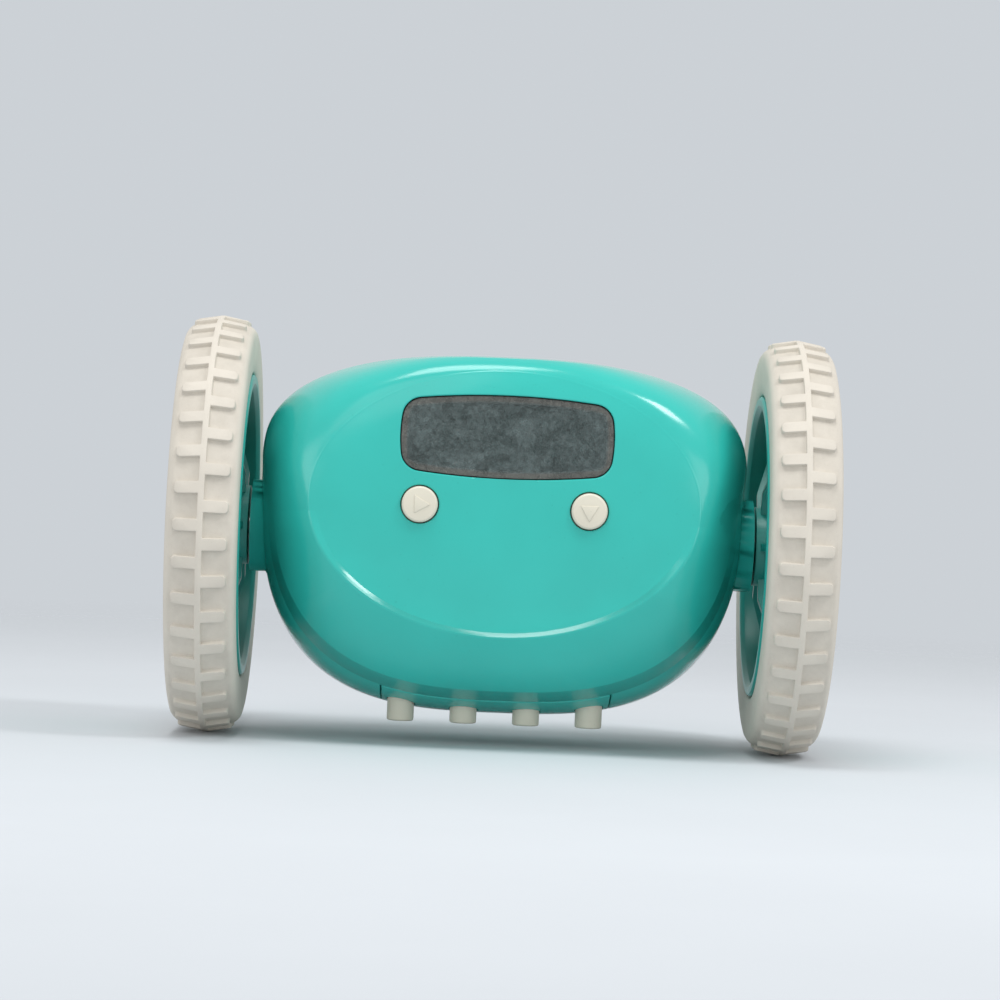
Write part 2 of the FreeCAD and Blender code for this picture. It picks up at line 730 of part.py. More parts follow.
cell_places = []
for row in range(2):
    for column in range(2):
        across = "cell_place + %d * cell_pitch" % column
        height = "-cell_level + %d * cell_pitch" % row
        cell_places.append((across, height, 1 if (row + column) % 2 else -1))
spring_solids = []
plate_solids = []
for number, (across, height, way) in enumerate(cell_places, start=1):
    sign = "" if way > 0 else "-"
    corners = (
        (sign + "(-cell_length / 2)", "0"),
        (sign + "(-cell_length / 2)", "cell_radius - 0.4"),
        (sign + "(-cell_length / 2 + 0.4)", "cell_radius"),
        (sign + "(cell_length / 2 - 1.2)", "cell_radius"),
        (sign + "(cell_length / 2 - 0.8)", "cell_radius - 0.4"),
        (sign + "(cell_length / 2 - 0.8)", "1.9"),
        (sign + "(cell_length / 2)", "1.9"),
        (sign + "(cell_length / 2)", "0"),
    )
    name = "battery_cell_%d" % number
    keep(turned(name, "XY_Plane", "H_Axis", corners, "0", across, height), name)
    y = val(across)
    z = val(height)
    near = val("cell_length") / 2
    far = near + val("spring_length")
    coil = Part.makeCone(1.6, 3.2, far - near - 0.1, Vector(0, 0, 0), Vector(0, 0, 1))
    coil.Placement = Placement(Vector(-way * (near + 0.05), y, z), Rotation(Vector(0, 1, 0), -way * 90))
    spring_solids.append(coil)
    bump = rod("x", 1.6, near + 0.05, far, (y, z))
    if way < 0:
        bump = bump.mirror(Vector(0, 0, 0), Vector(1, 0, 0))
    plate_solids.append(bump)
for side in (-1, 1):
    ends = sorted((side * (box_half - 0.55), side * (box_half - 0.05)))
    foot = -val("cell_level") - 1.6
    plate = cuboid(ends[0], ends[1], box_front + 1.5, box_back - 1.5, foot, box_top - 0.5)
    touching = [bump for bump in plate_solids if bump.BoundBox.Center.x * side > 0]
    plate_solids = [bump for bump in plate_solids if bump not in touching] + [plate.fuse(touching)]
piece_of("battery_springs", Part.makeCompound(spring_solids))
piece_of("battery_plates", Part.makeCompound(plate_solids))

# Loudspeaker behind the slots
speaker_front = "back_depth - shell_wall - fit_gap"
speaker_corners = (
    ("0", speaker_front + " - 3"),
    ("3", speaker_front + " - 2.4"),
    ("speaker_radius - 2.5", speaker_front + " - 0.8"),
    ("speaker_radius - 2", speaker_front),
    ("speaker_radius", speaker_front),
    ("speaker_radius", speaker_front + " - 1.2"),
    ("speaker_radius - 2", speaker_front + " - 1.6"),
    ("speaker_radius / 2", speaker_front + " - 5"),
    ("speaker_radius / 2", speaker_front + " - speaker_depth"),
    ("0", speaker_front + " - speaker_depth"),
)
speaker = turned("speaker_body", "XY_Plane", "V_Axis", speaker_corners, "0", "0", "speaker_level")
keep(speaker, "speaker")

# Case screws, from the wells in the back into the posts of the front shell
screw_bodies = []
for index, (sign, height) in enumerate((("-", "upper"), ("-", "lower"), ("", "upper"), ("", "lower"))):
    corners = (
        ("0", "screw_seat - screw_length"),
        ("screw_radius * 0.85 - seat_gap", "screw_seat - screw_length"),
        ("screw_radius * 0.85 - seat_gap", "screw_seat"),
        ("screw_head", "screw_seat"),
        ("screw_head", "screw_seat + 1.2"),
        ("screw_head - 0.8", "screw_seat + 1.8"),
        ("0", "screw_seat + 1.8"),
    )
    screw = turned(
        "case_screw_%d" % index,
        "XY_Plane",
        "V_Axis",
        corners,
        "%spost_%s_x" % (sign, height),
        "0",
        "post_%s_z" % height,
    )
    screw_bodies.append(screw)
keep(grouped("screw_group", screw_bodies), "case_screws")

# Wheel: hollow tyre with two staggered rows of lugs beside a centre rib
tread_base = "wheel_diameter / 2 - tread_height"
half_tyre = "wheel_width / 2"
lip_radius = "seat_radius + lip_height"
bead = "wheel_width / 2 - lip_width - 0.05"
side_corners = (
    ("rib_width / 2", "wheel_diameter / 2"),
    ("rib_width / 2", tread_base),
    ("lug_reach - 0.2", tread_base),
    (half_tyre + " - 0.7", tread_base + " - 0.3 * shoulder_drop"),
    (half_tyre + " - 0.1", tread_base + " - shoulder_drop"),
    (half_tyre, "(%s + %s) / 2" % (tread_base, lip_radius)),
    (half_tyre + " - 0.3", lip_radius + " + panel_gap"),
    (bead, lip_radius + " + panel_gap"),
    (bead, "seat_radius + seat_gap"),
    (half_tyre + " - tyre_wall", "seat_radius + seat_gap"),
    (half_tyre + " - tyre_wall", tread_base + " - tyre_wall - 1.2"),
    (half_tyre + " - tyre_wall - 1.2", tread_base + " - tyre_wall"),
)
tyre_corners = list(side_corners) + [("-(%s)" % x, y) for x, y in reversed(side_corners)]
tyre = turned("tyre_body", "XY_Plane", "H_Axis", tyre_corners, WHEEL_MIDDLE)
for row, (sign, turn) in enumerate((("", "0"), ("-", "180 / lug_count"))):
    plan = plane_sketch(tyre, "XY_Plane", "lug_plan_%d" % row)
    lug_corners = (
        (sign + "rib_width / 4", "-lug_thickness / 2"),
        (sign + "(lug_reach - lug_clip)", "-lug_thickness / 2"),
        (sign + "lug_reach", "-lug_thickness / 2 + lug_clip"),
        (sign + "lug_reach", "lug_thickness / 2 - lug_clip"),
        (sign + "(lug_reach - lug_clip)", "lug_thickness / 2"),
        (sign + "rib_width / 4", "lug_thickness / 2"),
    )
    polygon(plan, lug_corners)
    root = "(%s - 0.8)" % tread_base
    plan.AttachmentOffset = Placement(Vector(0, 0, 0), Rotation(Vector(1, 0, 0), 1))
    bind(plan, "AttachmentOffset.Rotation.Angle", turn)
    bind(plan, "AttachmentOffset.Base.y", "-%s * sin(%s)" % (root, turn))
    bind(plan, "AttachmentOffset.Base.z", "%s * cos(%s)" % (root, turn))
    lug = padded(tyre, plan, "lug_%d" % row, "tread_height + 0.78")
    ringed(tyre, lug, "lug_row_%d" % row, "lug_count")
both_sides("tyre", tyre)

# Rim: barrel between two lips, web, boss and six ribs behind the web
rim_corners = (
    ("-(%s)" % half_tyre, "shaft_radius + seat_gap"),
    ("-(%s)" % half_tyre, "hub_radius"),
    ("web_place", "hub_radius"),
    ("web_place", "seat_radius - rim_wall - 0.2"),
    ("-(%s) + 0.9" % half_tyre, "seat_radius - rim_wall + 0.3"),
    ("-(%s)" % half_tyre, "seat_radius - rim_wall + 1.1"),
    ("-(%s)" % half_tyre, lip_radius + " - 0.4"),
    ("-(%s) + 0.4" % half_tyre, lip_radius),
    ("-(%s) + lip_width" % half_tyre, lip_radius),
    ("-(%s) + lip_width" % half_tyre, "seat_radius"),
    (half_tyre + " - lip_width", "seat_radius"),
    (half_tyre + " - lip_width", lip_radius),
    (half_tyre + " - 0.4", lip_radius),
    (half_tyre, lip_radius + " - 0.4"),
    (half_tyre, "seat_radius - rim_wall + 1.1"),
    (half_tyre + " - 1.2", "seat_radius - rim_wall + 0.2"),
    ("web_place + web_wall", "seat_radius - rim_wall - 1.2"),
    ("web_place + web_wall", "cap_radius + 1.6"),
    ("hub_outer", "cap_radius + 0.4"),
    ("hub_outer", "shaft_radius + seat_gap"),
)
rim = turned("rim_body", "XY_Plane", "H_Axis", rim_corners, WHEEL_MIDDLE)
spoke_plan = plane_sketch(rim, "XY_Plane", "spoke_plan")
spoke_corners = (
    ("-(%s) + 0.9" % half_tyre, "hub_radius - 0.4"),
    ("-(%s) + 0.9" % half_tyre, "hub_radius + 4.5"),
    ("web_place - 2.6", "seat_radius - rim_wall + 0.4"),
    ("web_place + 0.4", "seat_radius - rim_wall + 0.4"),
    ("web_place + 0.4", "hub_radius - 0.4"),
)
polygon(spoke_plan, spoke_corners)
spoke = padded(rim, spoke_plan, "spoke", "spoke_wall", True)
ringed(rim, spoke, "spoke_ring", "spoke_count")
both_sides("rim", rim)

cap_corners = (
    ("hub_outer + fit_gap", "cap_radius"),
    ("hub_outer + cap_rise - 1", "cap_radius - 0.2"),
    ("hub_outer + cap_rise - 0.3", "cap_radius - 2"),
    ("hub_outer + cap_rise", "0"),
    ("hub_outer + cap_rise - 0.8", "0"),
    ("hub_outer + cap_rise - 1.1", "cap_radius - 2.6"),
    ("hub_outer + cap_rise - 1.6", "cap_radius - 1"),
    ("hub_outer + fit_gap", "cap_radius - 1"),
)
both_sides("hub_cap", turned("cap_body", "XY_Plane", "H_Axis", cap_corners, WHEEL_MIDDLE))

pilot_radius = "shaft_radius / 2"
axle_screw_corners = (
    ("hub_outer - 8", "0"),
    ("hub_outer - 8", pilot_radius + " - seat_gap"),
    ("hub_outer", pilot_radius + " - seat_gap"),
    ("hub_outer", "shaft_radius * 1.5"),
    ("hub_outer + 1.3", "shaft_radius * 1.5"),
    ("hub_outer + 1.3", "0"),
)
both_sides("wheel_screw", turned("axle_screw", "XY_Plane", "H_Axis", axle_screw_corners, WHEEL_MIDDLE))

shaft_start = "box_inner + 2 * fit_gap"
shaft_end = WHEEL_MIDDLE + " + hub_outer - fit_gap"
shaft_corners = (
    (shaft_start, "0"),
    (shaft_start, "shaft_radius"),
    (shaft_end, "shaft_radius"),
    (shaft_end, pilot_radius),
    (shaft_end + " - 9", pilot_radius),
    (shaft_end + " - 9", "0"),
)
both_sides("drive_shaft", turned("shaft_body", "XY_Plane", "H_Axis", shaft_corners))

bush_start = "box_inner + box_depth + 3 * fit_gap"
bush_corners = (
    (bush_start, "shaft_radius + running_gap"),
    (bush_start, "bush_radius"),
    ("collar_reach - fit_gap", "bush_radius"),
    ("collar_reach - fit_gap", "shaft_radius + running_gap"),
)
both_sides("bush", turned("bush_body", "XY_Plane", "H_Axis", bush_corners))


# Gears: each outline has straight-sided teeth whose flanks lie on the involute

PRESSURE = math.radians(20)


def involute(angle):
    return math.tan(angle) - angle


def gear_solid(teeth, addendum, first_tooth, x0, x1, bore):
    """A spur gear about the X axis with one tooth centred on an angle."""
    module = val("gear_module")
    pitch = module * teeth / 2
    base = pitch * math.cos(PRESSURE)
    root = pitch - 1.2 * module
    tip = pitch + addendum * module
    half_pitch_angle = math.pi / teeth / 2 - 0.08 / pitch / 2
    flank = []
    for radius in (max(base, root) + 0.001, pitch, tip):
        lean = involute(math.acos(base / radius))
        flank.append((radius, half_pitch_angle + involute(PRESSURE) - lean))
    flank = [(root, flank[0][1])] + flank if base > root + 0.05 else flank
    points = []
    for tooth in range(teeth):
        middle = first_tooth + 2 * math.pi * tooth / teeth
        turns = [(radius, middle - half) for radius, half in flank]
        turns += [(radius, middle + half) for radius, half in reversed(flank)]
        points += [Vector(x0, r * math.cos(a), r * math.sin(a)) for r, a in turns]
    outline = Part.makePolygon(points + [points[0]])
    solid = Part.Face(outline).extrude(Vector(x1 - x0, 0, 0))
    return solid.cut(rod("x", bore, x0 - 1, x1 + 1)) if bore else solid


module = val("gear_module")
big = int(val("wheel_teeth"))
small = int(val("small_teeth"))
pinion = int(val("pinion_teeth"))
idler_turn = math.radians(val("idler_angle"))
motor_turn = math.radians(val("motor_angle"))
IDLER_SPAN = "gear_module * (wheel_teeth + small_teeth) / 2"
MOTOR_SPAN = "gear_module * (wheel_teeth + pinion_teeth) / 2"
IDLER_Y = IDLER_SPAN + " * cos(idler_angle)"
IDLER_Z = IDLER_SPAN + " * sin(idler_angle)"
MOTOR_Y = "%s + %s * cos(motor_angle)" % (IDLER_Y, MOTOR_SPAN)
MOTOR_Z = "%s + %s * sin(motor_angle)" % (IDLER_Z, MOTOR_SPAN)
idler_span = val(IDLER_SPAN)
idler_spot = (val(IDLER_Y), val(IDLER_Z))
motor_spot = (val(MOTOR_Y), val(MOTOR_Z))
STUB = 0.64
FULL = 0.9
face = val("gear_face")
inner = val("box_inner")
plate = val("box_plate")
first_plane = inner + plate + 1.2
second_plane = first_plane + face + 1.6
shaft_bore = val("shaft_radius + seat_gap")
pin_bore = val("idler_radius + running_gap")

output = gear_solid(big, STUB, idler_turn, second_plane, second_plane + face, shaft_bore)
output_hub = rod("x", 4.0, second_plane + face, second_plane + face + 1.2)
output = output.fuse(output_hub.cut(rod("x", shaft_bore, 0, FAR))).removeSplitter()
both_sides("output_gear", fixed("output_gear", output))

compound = gear_solid(big, STUB, motor_turn, first_plane, first_plane + face, 0)
tooth_gap = idler_turn + math.pi + math.pi / small
compound = compound.fuse(gear_solid(small, FULL, tooth_gap, first_plane + face, second_plane + face + 0.6, 0))
compound = compound.cut(rod("x", pin_bore, 0, FAR))
both_sides("compound_gear", fixed("compound_gear", compound, IDLER_Y, IDLER_Z))

pinion_gap = motor_turn + math.pi + math.pi / pinion
drive = gear_solid(pinion, FULL, pinion_gap, inner + plate + 0.6, first_plane + face + 0.6, 0)
drive = drive.cut(rod("x", val("idler_radius + seat_gap"), 0, FAR))
both_sides("pinion", fixed("pinion", drive, MOTOR_Y, MOTOR_Z))

spindle = rod("x", val("idler_radius"), inner - 3, first_plane + face + 0.6)
both_sides("motor_shaft", fixed("motor_shaft", spindle, MOTOR_Y, MOTOR_Z))

pin = rod("x", val("idler_radius"), inner + 0.2, inner + val("box_depth") - 0.2)
both_sides("idler_pin", fixed("idler_pin", pin, IDLER_Y, IDLER_Z))

# Gearbox: a cup with its floor on the motor side and a cover on the wheel side
clear = module * big / 2 + module + 0.6
margin = val("box_margin")


def gearbox_outline(radius, x0, x1):
    """Hull round the two large gears: two rounds and the strip that joins them."""
    strip = cuboid(x0, x1, 0, idler_span, -radius, radius)
    strip.rotate(Vector(0, 0, 0), Vector(1, 0, 0), math.degrees(idler_turn))
    rounds = [rod("x", radius, x0, x1, idler_spot), strip]
    return rod("x", radius, x0, x1).fuse(rounds).removeSplitter()


outer_end = inner + val("box_depth")
cup = gearbox_outline(clear + margin, inner, outer_end - plate)
cup = cup.cut(gearbox_outline(clear, inner + plate, FAR))
cup = cup.cut(rod("x", val("shaft_radius + running_gap"), 0, FAR))
cup = cup.cut(rod("x", val("idler_radius + seat_gap"), 0, FAR, idler_spot))
cup = cup.cut(rod("x", 3.1, 0, FAR, motor_spot))
both_sides("gearbox_base", fixed("gearbox_base", cup))

cover = gearbox_outline(clear + margin, outer_end - plate, outer_end)
cover = cover.cut(rod("x", val("shaft_radius + running_gap"), 0, FAR))
cover = cover.cut(rod("x", val("idler_radius + seat_gap"), 0, FAR, idler_spot))
both_sides("gearbox_cover", fixed("gearbox_cover", cover))

# Motor: a can with two flats, its nose in the gearbox floor
can = rod("x", val("motor_radius"), inner - val("motor_length"), inner)
flat = val("motor_flat") / 2
can = can.common(cuboid(-FAR, FAR, -FAR, FAR, -flat, flat))
can = can.fuse(rod("x", 3.0, inner - 1, inner + 1.2))
can = can.cut(rod("x", val("idler_radius + running_gap"), inner - 3.1, FAR))
both_sides("motor", fixed("motor", can, MOTOR_Y, MOTOR_Z))

doc.recompute()

for obj in doc.Objects:
    if "Invalid" in obj.State or "Error" in obj.State:
        raise RuntimeError("%s failed: %s" % (obj.Label, obj.State))
os.makedirs("parts", exist_ok=True)
failures = []
for obj in pieces:
    shape = obj.Shape
    if shape.isNull() or not shape.isValid() or not shape.Solids:
        failures.append(obj.Label)
        continue
    shape.exportStep("parts/%s.step" % obj.Label)
    box = shape.BoundBox
    print("%-20s solids %d volume %9.2f  X %.2f %.2f  Y %.2f %.2f  Z %.2f %.2f" % (
        obj.Label, len(shape.Solids), shape.Volume,
        box.XMin, box.XMax, box.YMin, box.YMax, box.ZMin, box.ZMax,
    ))
print("pieces", len(pieces))
if failures:
    raise RuntimeError("no valid solid: " + ", ".join(failures))
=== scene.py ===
"""Dresses the CAD frame of a two-wheeled runaway alarm clock: shapes, finishes, floor, light and camera."""

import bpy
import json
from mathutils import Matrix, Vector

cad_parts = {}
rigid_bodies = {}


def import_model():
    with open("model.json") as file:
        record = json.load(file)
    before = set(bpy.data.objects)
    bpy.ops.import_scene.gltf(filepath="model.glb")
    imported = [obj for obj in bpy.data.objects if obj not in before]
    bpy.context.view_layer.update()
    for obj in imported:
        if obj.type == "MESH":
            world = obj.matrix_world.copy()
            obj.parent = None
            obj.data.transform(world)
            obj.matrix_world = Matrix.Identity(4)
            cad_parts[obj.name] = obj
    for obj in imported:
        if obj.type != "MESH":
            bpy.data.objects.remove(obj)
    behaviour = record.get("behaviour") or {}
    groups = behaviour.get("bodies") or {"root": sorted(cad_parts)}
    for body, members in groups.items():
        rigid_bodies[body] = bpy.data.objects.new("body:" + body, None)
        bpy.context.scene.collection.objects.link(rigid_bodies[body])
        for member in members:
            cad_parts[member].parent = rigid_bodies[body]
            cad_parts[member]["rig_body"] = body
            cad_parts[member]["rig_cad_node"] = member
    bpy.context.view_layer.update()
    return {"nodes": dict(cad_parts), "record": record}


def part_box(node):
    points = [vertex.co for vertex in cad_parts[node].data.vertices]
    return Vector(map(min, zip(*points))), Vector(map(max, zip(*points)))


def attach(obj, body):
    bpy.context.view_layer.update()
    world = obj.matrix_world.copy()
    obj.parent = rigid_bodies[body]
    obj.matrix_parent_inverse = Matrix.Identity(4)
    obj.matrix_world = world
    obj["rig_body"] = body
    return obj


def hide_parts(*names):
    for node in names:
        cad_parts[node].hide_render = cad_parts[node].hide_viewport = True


bl_info = {
    "name": "Runaway alarm clock",
    "version": (1, 0, 0),
    "blender": (4, 5, 0),
    "location": "View3D > Sidebar > Clock",
    "description": "Builds the looks of a two-wheeled alarm clock round its CAD frame",
    "category": "Object",
}

import json
import math

import bmesh
import bpy
from mathutils import Matrix, Vector
from mathutils.bvhtree import BVHTree
from mathutils.interpolate import poly_3d_calc

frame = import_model()

MM = 0.001
RECORD = frame["record"]
BODY_OF = {node: body for body, nodes in RECORD["behaviour"]["bodies"].items() for node in nodes}
SIDES = {"left": -1, "right": 1}
wheel_low, wheel_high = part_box("right_tyre")
AXLE = (wheel_low.z + wheel_high.z) / 2


def srgb(red, green, blue):
    """A colour as seen on a screen, turned into the linear one that shaders take."""
    return tuple(c / 12.92 if c <= 0.04045 else ((c + 0.055) / 1.055) ** 2.4 for c in (red, green, blue))


def colour_prop(name, description, default):
    return bpy.props.FloatVectorProperty(
        name=name, description=description, default=default, size=3, min=0, max=1, subtype="COLOR"
    )


def length_prop(name, description, default):
    return bpy.props.FloatProperty(name=name, description=description, default=default, unit="LENGTH")


class ClockColours(bpy.types.PropertyGroup):
    """Colours of the clock's plastics, rubber and metals."""

    shell: colour_prop("Body", "Moulded body, panel and door", srgb(0.19, 0.72, 0.68))
    rim: colour_prop("Rims", "Moulded wheel rims", srgb(0.13, 0.62, 0.58))
    tyre: colour_prop("Tyres", "Cream rubber of the tyres", srgb(0.815, 0.79, 0.745))
    button: colour_prop("Buttons", "Cream plastic of the buttons", srgb(0.85, 0.83, 0.765))
    lens: colour_prop("Window", "Smoked clear window", srgb(0.70, 0.78, 0.78))
    display: colour_prop("Display", "Liquid crystal panel at rest", srgb(0.36, 0.43, 0.42))
    black: colour_prop("Black plastic", "Frames, boxes and switches", srgb(0.13, 0.13, 0.14))
    board: colour_prop("Boards", "Solder mask of the circuit boards", srgb(0.06, 0.33, 0.18))
    jacket: colour_prop("Cells", "Sleeve of the battery cells", srgb(0.16, 0.17, 0.20))
    steel: colour_prop("Steel", "Screws, shafts and springs", srgb(0.72, 0.72, 0.73))
    brass: colour_prop("Brass", "Bushes and pinions", srgb(0.80, 0.66, 0.36))
    nylon: colour_prop("Gears", "Unpainted nylon of the gears", srgb(0.90, 0.89, 0.85))
    floor: colour_prop("Floor", "Pale studio floor", srgb(0.80, 0.82, 0.84))


class BodySizes(bpy.types.PropertyGroup):
    """Sizes of the body's outer surface, the same as in the solid."""

    half_width: length_prop("Half width", "Widest place from the middle", 51.65 * MM)
    shoulder: length_prop("Shoulder", "Widest place over the axle", 14.5 * MM)
    crown: length_prop("Crown", "From the widest place to the top", 23.5 * MM)
    keel: length_prop("Keel", "From the widest place to the underside", 52.4 * MM)
    front_depth: length_prop("Front depth", "From the seam to the edge of the face", 31.0 * MM)
    back_depth: length_prop("Back depth", "From the seam to the flat back", 30.0 * MM)
    dome: length_prop("Dome", "Middle of the face proud of its edge", 1.6 * MM)
    face_half_width: length_prop("Face half width", "Raised face", 40.3 * MM)
    face_half_height: length_prop("Face half height", "Raised face", 27.4 * MM)
    face_level: length_prop("Face level", "Middle of the face over the axle", 6.6 * MM)
    back_half_width: length_prop("Back half width", "Flat back", 38.0 * MM)
    back_half_height: length_prop("Back half height", "Flat back", 28.0 * MM)
    back_level: length_prop("Back level", "Middle of the flat back over the axle", 1.5 * MM)


class WheelSizes(bpy.types.PropertyGroup):
    """Sizes of a tyre, from the frame and the tread pattern."""

    radius: length_prop("Radius", "Over the tread", (wheel_high.z - wheel_low.z) / 2)
    half_width: length_prop("Half width", "Half of the tyre's width", (wheel_high.x - wheel_low.x) / 2)
    tread: length_prop("Tread", "Height of lugs and centre rib", 1.05 * MM)
    rib: length_prop("Rib", "Half width of the centre rib", 0.65 * MM)
    fall: length_prop("Fall", "Fall of the tread from its middle to the lugs' ends", 1.0 * MM)
    lug_reach: length_prop("Lug reach", "From the middle to a lug's end", 5.6 * MM)
    lug_half: length_prop("Lug", "Half thickness of a lug along the tread", 1.225 * MM)
    lug_round: length_prop("Lug corner", "Corner radius of a lug's end", 0.75 * MM)
    lugs: bpy.props.IntProperty(name="Lugs", description="Lugs in one row", default=36, min=6)


# Selecting and editing, as by hand


def deselect():
    """Leaves edit mode and selects nothing."""
    if bpy.context.object and bpy.context.object.mode != "OBJECT":
        bpy.ops.object.mode_set(mode="OBJECT")
    bpy.ops.object.select_all(action="DESELECT")


def activate(obj):
    deselect()
    obj.select_set(True)
    bpy.context.view_layer.objects.active = obj


def edit(obj):
    """Opens an object for editing with nothing selected and returns its editable mesh."""
    activate(obj)
    bpy.ops.object.mode_set(mode="EDIT")
    bpy.ops.mesh.select_all(action="DESELECT")
    return bmesh.from_edit_mesh(obj.data)


def show_picks(obj, mesh):
    """Hands a selection made in code to the next operator."""
    mesh.select_flush_mode()
    bmesh.update_edit_mesh(obj.data)


def pick_all():
    bpy.ops.mesh.select_all(action="SELECT")


def settle(obj):
    """Puts the object's place into its mesh."""
    activate(obj)
    bpy.ops.object.transform_apply(location=True, rotation=True, scale=True)


def apply_modifier(obj, kind, **settings):
    activate(obj)
    modifier = obj.modifiers.new(kind.title(), kind)
    for name, value in settings.items():
        setattr(modifier, name, value)
    bpy.ops.object.modifier_apply(modifier=modifier.name)


def round_edges(obj, width, segments=2, angle=35):
    """Rounds the sharp edges a little, so that they catch the light."""
    apply_modifier(
        obj,
        "BEVEL",
        width=width,
        segments=segments,
        limit_method="ANGLE",
        angle_limit=math.radians(angle),
    )


def smooth(obj, angle=35):
    activate(obj)
    bpy.ops.object.shade_smooth_by_angle(angle=math.radians(angle))


def finish_piece(obj, name, nodes, finish):
    """Names a finished piece, gives it its material and hangs it on its body in place of its solids."""
    activate(obj)
    obj.name = name
    obj.data.name = name
    obj.data.materials.clear()
    obj.data.materials.append(finish)
    for polygon in obj.data.polygons:
        polygon.material_index = 0
    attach(obj, BODY_OF[nodes[0]])
    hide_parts(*nodes)
    return obj


def solid_copy(node, flat_angle=0.5):
    """A merged copy of a solid from the frame, with its flat faces joined up unless flat_angle is 0."""
    deselect()
    source = frame["nodes"][node]
    source.select_set(True)
    bpy.context.view_layer.objects.active = source
    bpy.ops.object.duplicate()
    copy = bpy.context.object
    copy.parent = None
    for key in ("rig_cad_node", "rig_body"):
        if key in copy:
            del copy[key]
    edit(copy)
    pick_all()
    bpy.ops.mesh.remove_doubles(threshold=0.000002)
    if flat_angle:
        bpy.ops.mesh.dissolve_limited(angle_limit=math.radians(flat_angle))
    bpy.ops.object.mode_set(mode="OBJECT")
    return copy


def dress(node, finish, rounding=0.0):
    """Shows a solid from the frame with rounded edges, smooth shading and its finish."""
    copy = solid_copy(node)
    if rounding:
        round_edges(copy, rounding)
    smooth(copy)
    return finish_piece(copy, node + "_shown", [node], finish)


# Shader graphs, written as sums on sockets

# Places of sockets in their node's list
OBJECT_COORDINATES = 3
BRICK_MORTAR = 1
MIXED_COLOUR = 2
FIRST_COLOUR = 6
SECOND_COLOUR = 7


class Wire:
    """A shader socket that takes part in sums."""

    def __init__(self, recipe, socket):
        self.recipe = recipe
        self.socket = socket

    def maths(self, operation, first, second=None, third=None, clamp=False):
        values = [value for value in (first, second, third) if value is not None]
        settings = {"operation": operation, "use_clamp": clamp}
        return self.recipe.node("Math", settings, dict(enumerate(values)))

    def __add__(self, other):
        return self.maths("ADD", self, other)

    def __sub__(self, other):
        return self.maths("SUBTRACT", self, other)

    def __rsub__(self, other):
        return self.maths("SUBTRACT", other, self)

    def __mul__(self, other):
        return self.maths("MULTIPLY", self, other)

    def __truediv__(self, other):
        return self.maths("DIVIDE", self, other)

    __radd__ = __add__
    __rmul__ = __mul__

    def clamped(self):
        return self.maths("ADD", self, 0.0, clamp=True)

    def root(self):
        return self.maths("SQRT", self)

    def __abs__(self):
        return self.maths("ABSOLUTE", self)

    def softly_least(self, other, width):
        """The lesser of two values, with a rounded corner between them."""
        return self.maths("SMOOTH_MIN", self, other, width)

    def band(self, low, high):
        """Zero below low, one above high and a straight line between."""
        return ((self - low) / (high - low)).clamped()


class Recipe:
    """One material, built node by node."""

    def __init__(self, name):
        self.material = bpy.data.materials.new(name)
        self.material.use_nodes = True
        self.tree = self.material.node_tree
        self.tree.nodes.clear()

    def node(self, kind, settings=None, inputs=None, output=0):
        made = self.tree.nodes.new("ShaderNode" + kind)
        for name, value in (settings or {}).items():
            setattr(made, name, value)
        for name, value in (inputs or {}).items():
            socket = made.inputs[name]
            if isinstance(value, Wire):
                self.tree.links.new(value.socket, socket)
            else:
                socket.default_value = value
        return Wire(self, made.outputs[output])

    def point(self, stretch=(1, 1, 1)):
        """The place on the object in millimetres, drawn out along chosen axes."""
        spot = self.node("TexCoord", output=OBJECT_COORDINATES)
        scale = [part / MM for part in stretch]
        return self.node("VectorMath", {"operation": "MULTIPLY"}, {0: spot, 1: scale})

    def axes(self, point):
        """The three coordinates of a place."""
        split = self.node("SeparateXYZ", None, {0: point})
        return [Wire(self, output) for output in split.socket.node.outputs]

    def noise(self, point, scale, detail=3.0, roughness=0.5, distortion=0.0):
        inputs = {
            "Vector": point,
            "Scale": scale,
            "Detail": detail,
            "Roughness": roughness,
            "Distortion": distortion,
        }
        return self.node("TexNoise", None, inputs)

    def cells(self, point, scale, feature="F1"):
        return self.node("TexVoronoi", {"feature": feature}, {"Vector": point, "Scale": scale})

    def mix(self, factor, first, second):
        """Two colours mixed by a factor."""
        made = self.node("Mix", {"data_type": "RGBA"}, {"Factor": factor}, output=MIXED_COLOUR)
        for index, value in ((FIRST_COLOUR, first), (SECOND_COLOUR, second)):
            socket = made.socket.node.inputs[index]
            if isinstance(value, Wire):
                self.tree.links.new(value.socket, socket)
            else:
                socket.default_value = tuple(value) + (1.0,) if len(value) == 3 else value
        return made

    def bump(self, height, strength, distance, normal=None):
        inputs = {"Height": height, "Strength": strength, "Distance": distance}
        if normal:
            inputs["Normal"] = normal
        return self.node("Bump", None, inputs)

    def plastic(self, **inputs):
        named = {name.replace("_", " "): value for name, value in inputs.items()}
        for name, value in named.items():
            if not isinstance(value, (Wire, int, float)) and len(value) == 3:
                named[name] = tuple(value) + (1.0,)
        return self.node("BsdfPrincipled", None, named)

    def done(self, surface):
        output = self.tree.nodes.new("ShaderNodeOutputMaterial")
        self.tree.links.new(surface.socket, output.inputs["Surface"])
        return self.material


def shade(colour, factor):
    return tuple(min(1.0, part * factor) for part in colour)


def scratches(recipe, point, scale, width):
    """Fine hairlines, as a mask."""
    bent = recipe.noise(point, scale * 0.35, 2.0)
    turned = recipe.node("VectorMath", {"operation": "ADD"}, {0: point, 1: bent})
    lines = recipe.cells(turned, scale, "DISTANCE_TO_EDGE")
    sparse = recipe.noise(point, scale * 0.8, 1.0).band(0.60, 0.70)
    return (1 - lines.band(0.0, width)) * sparse


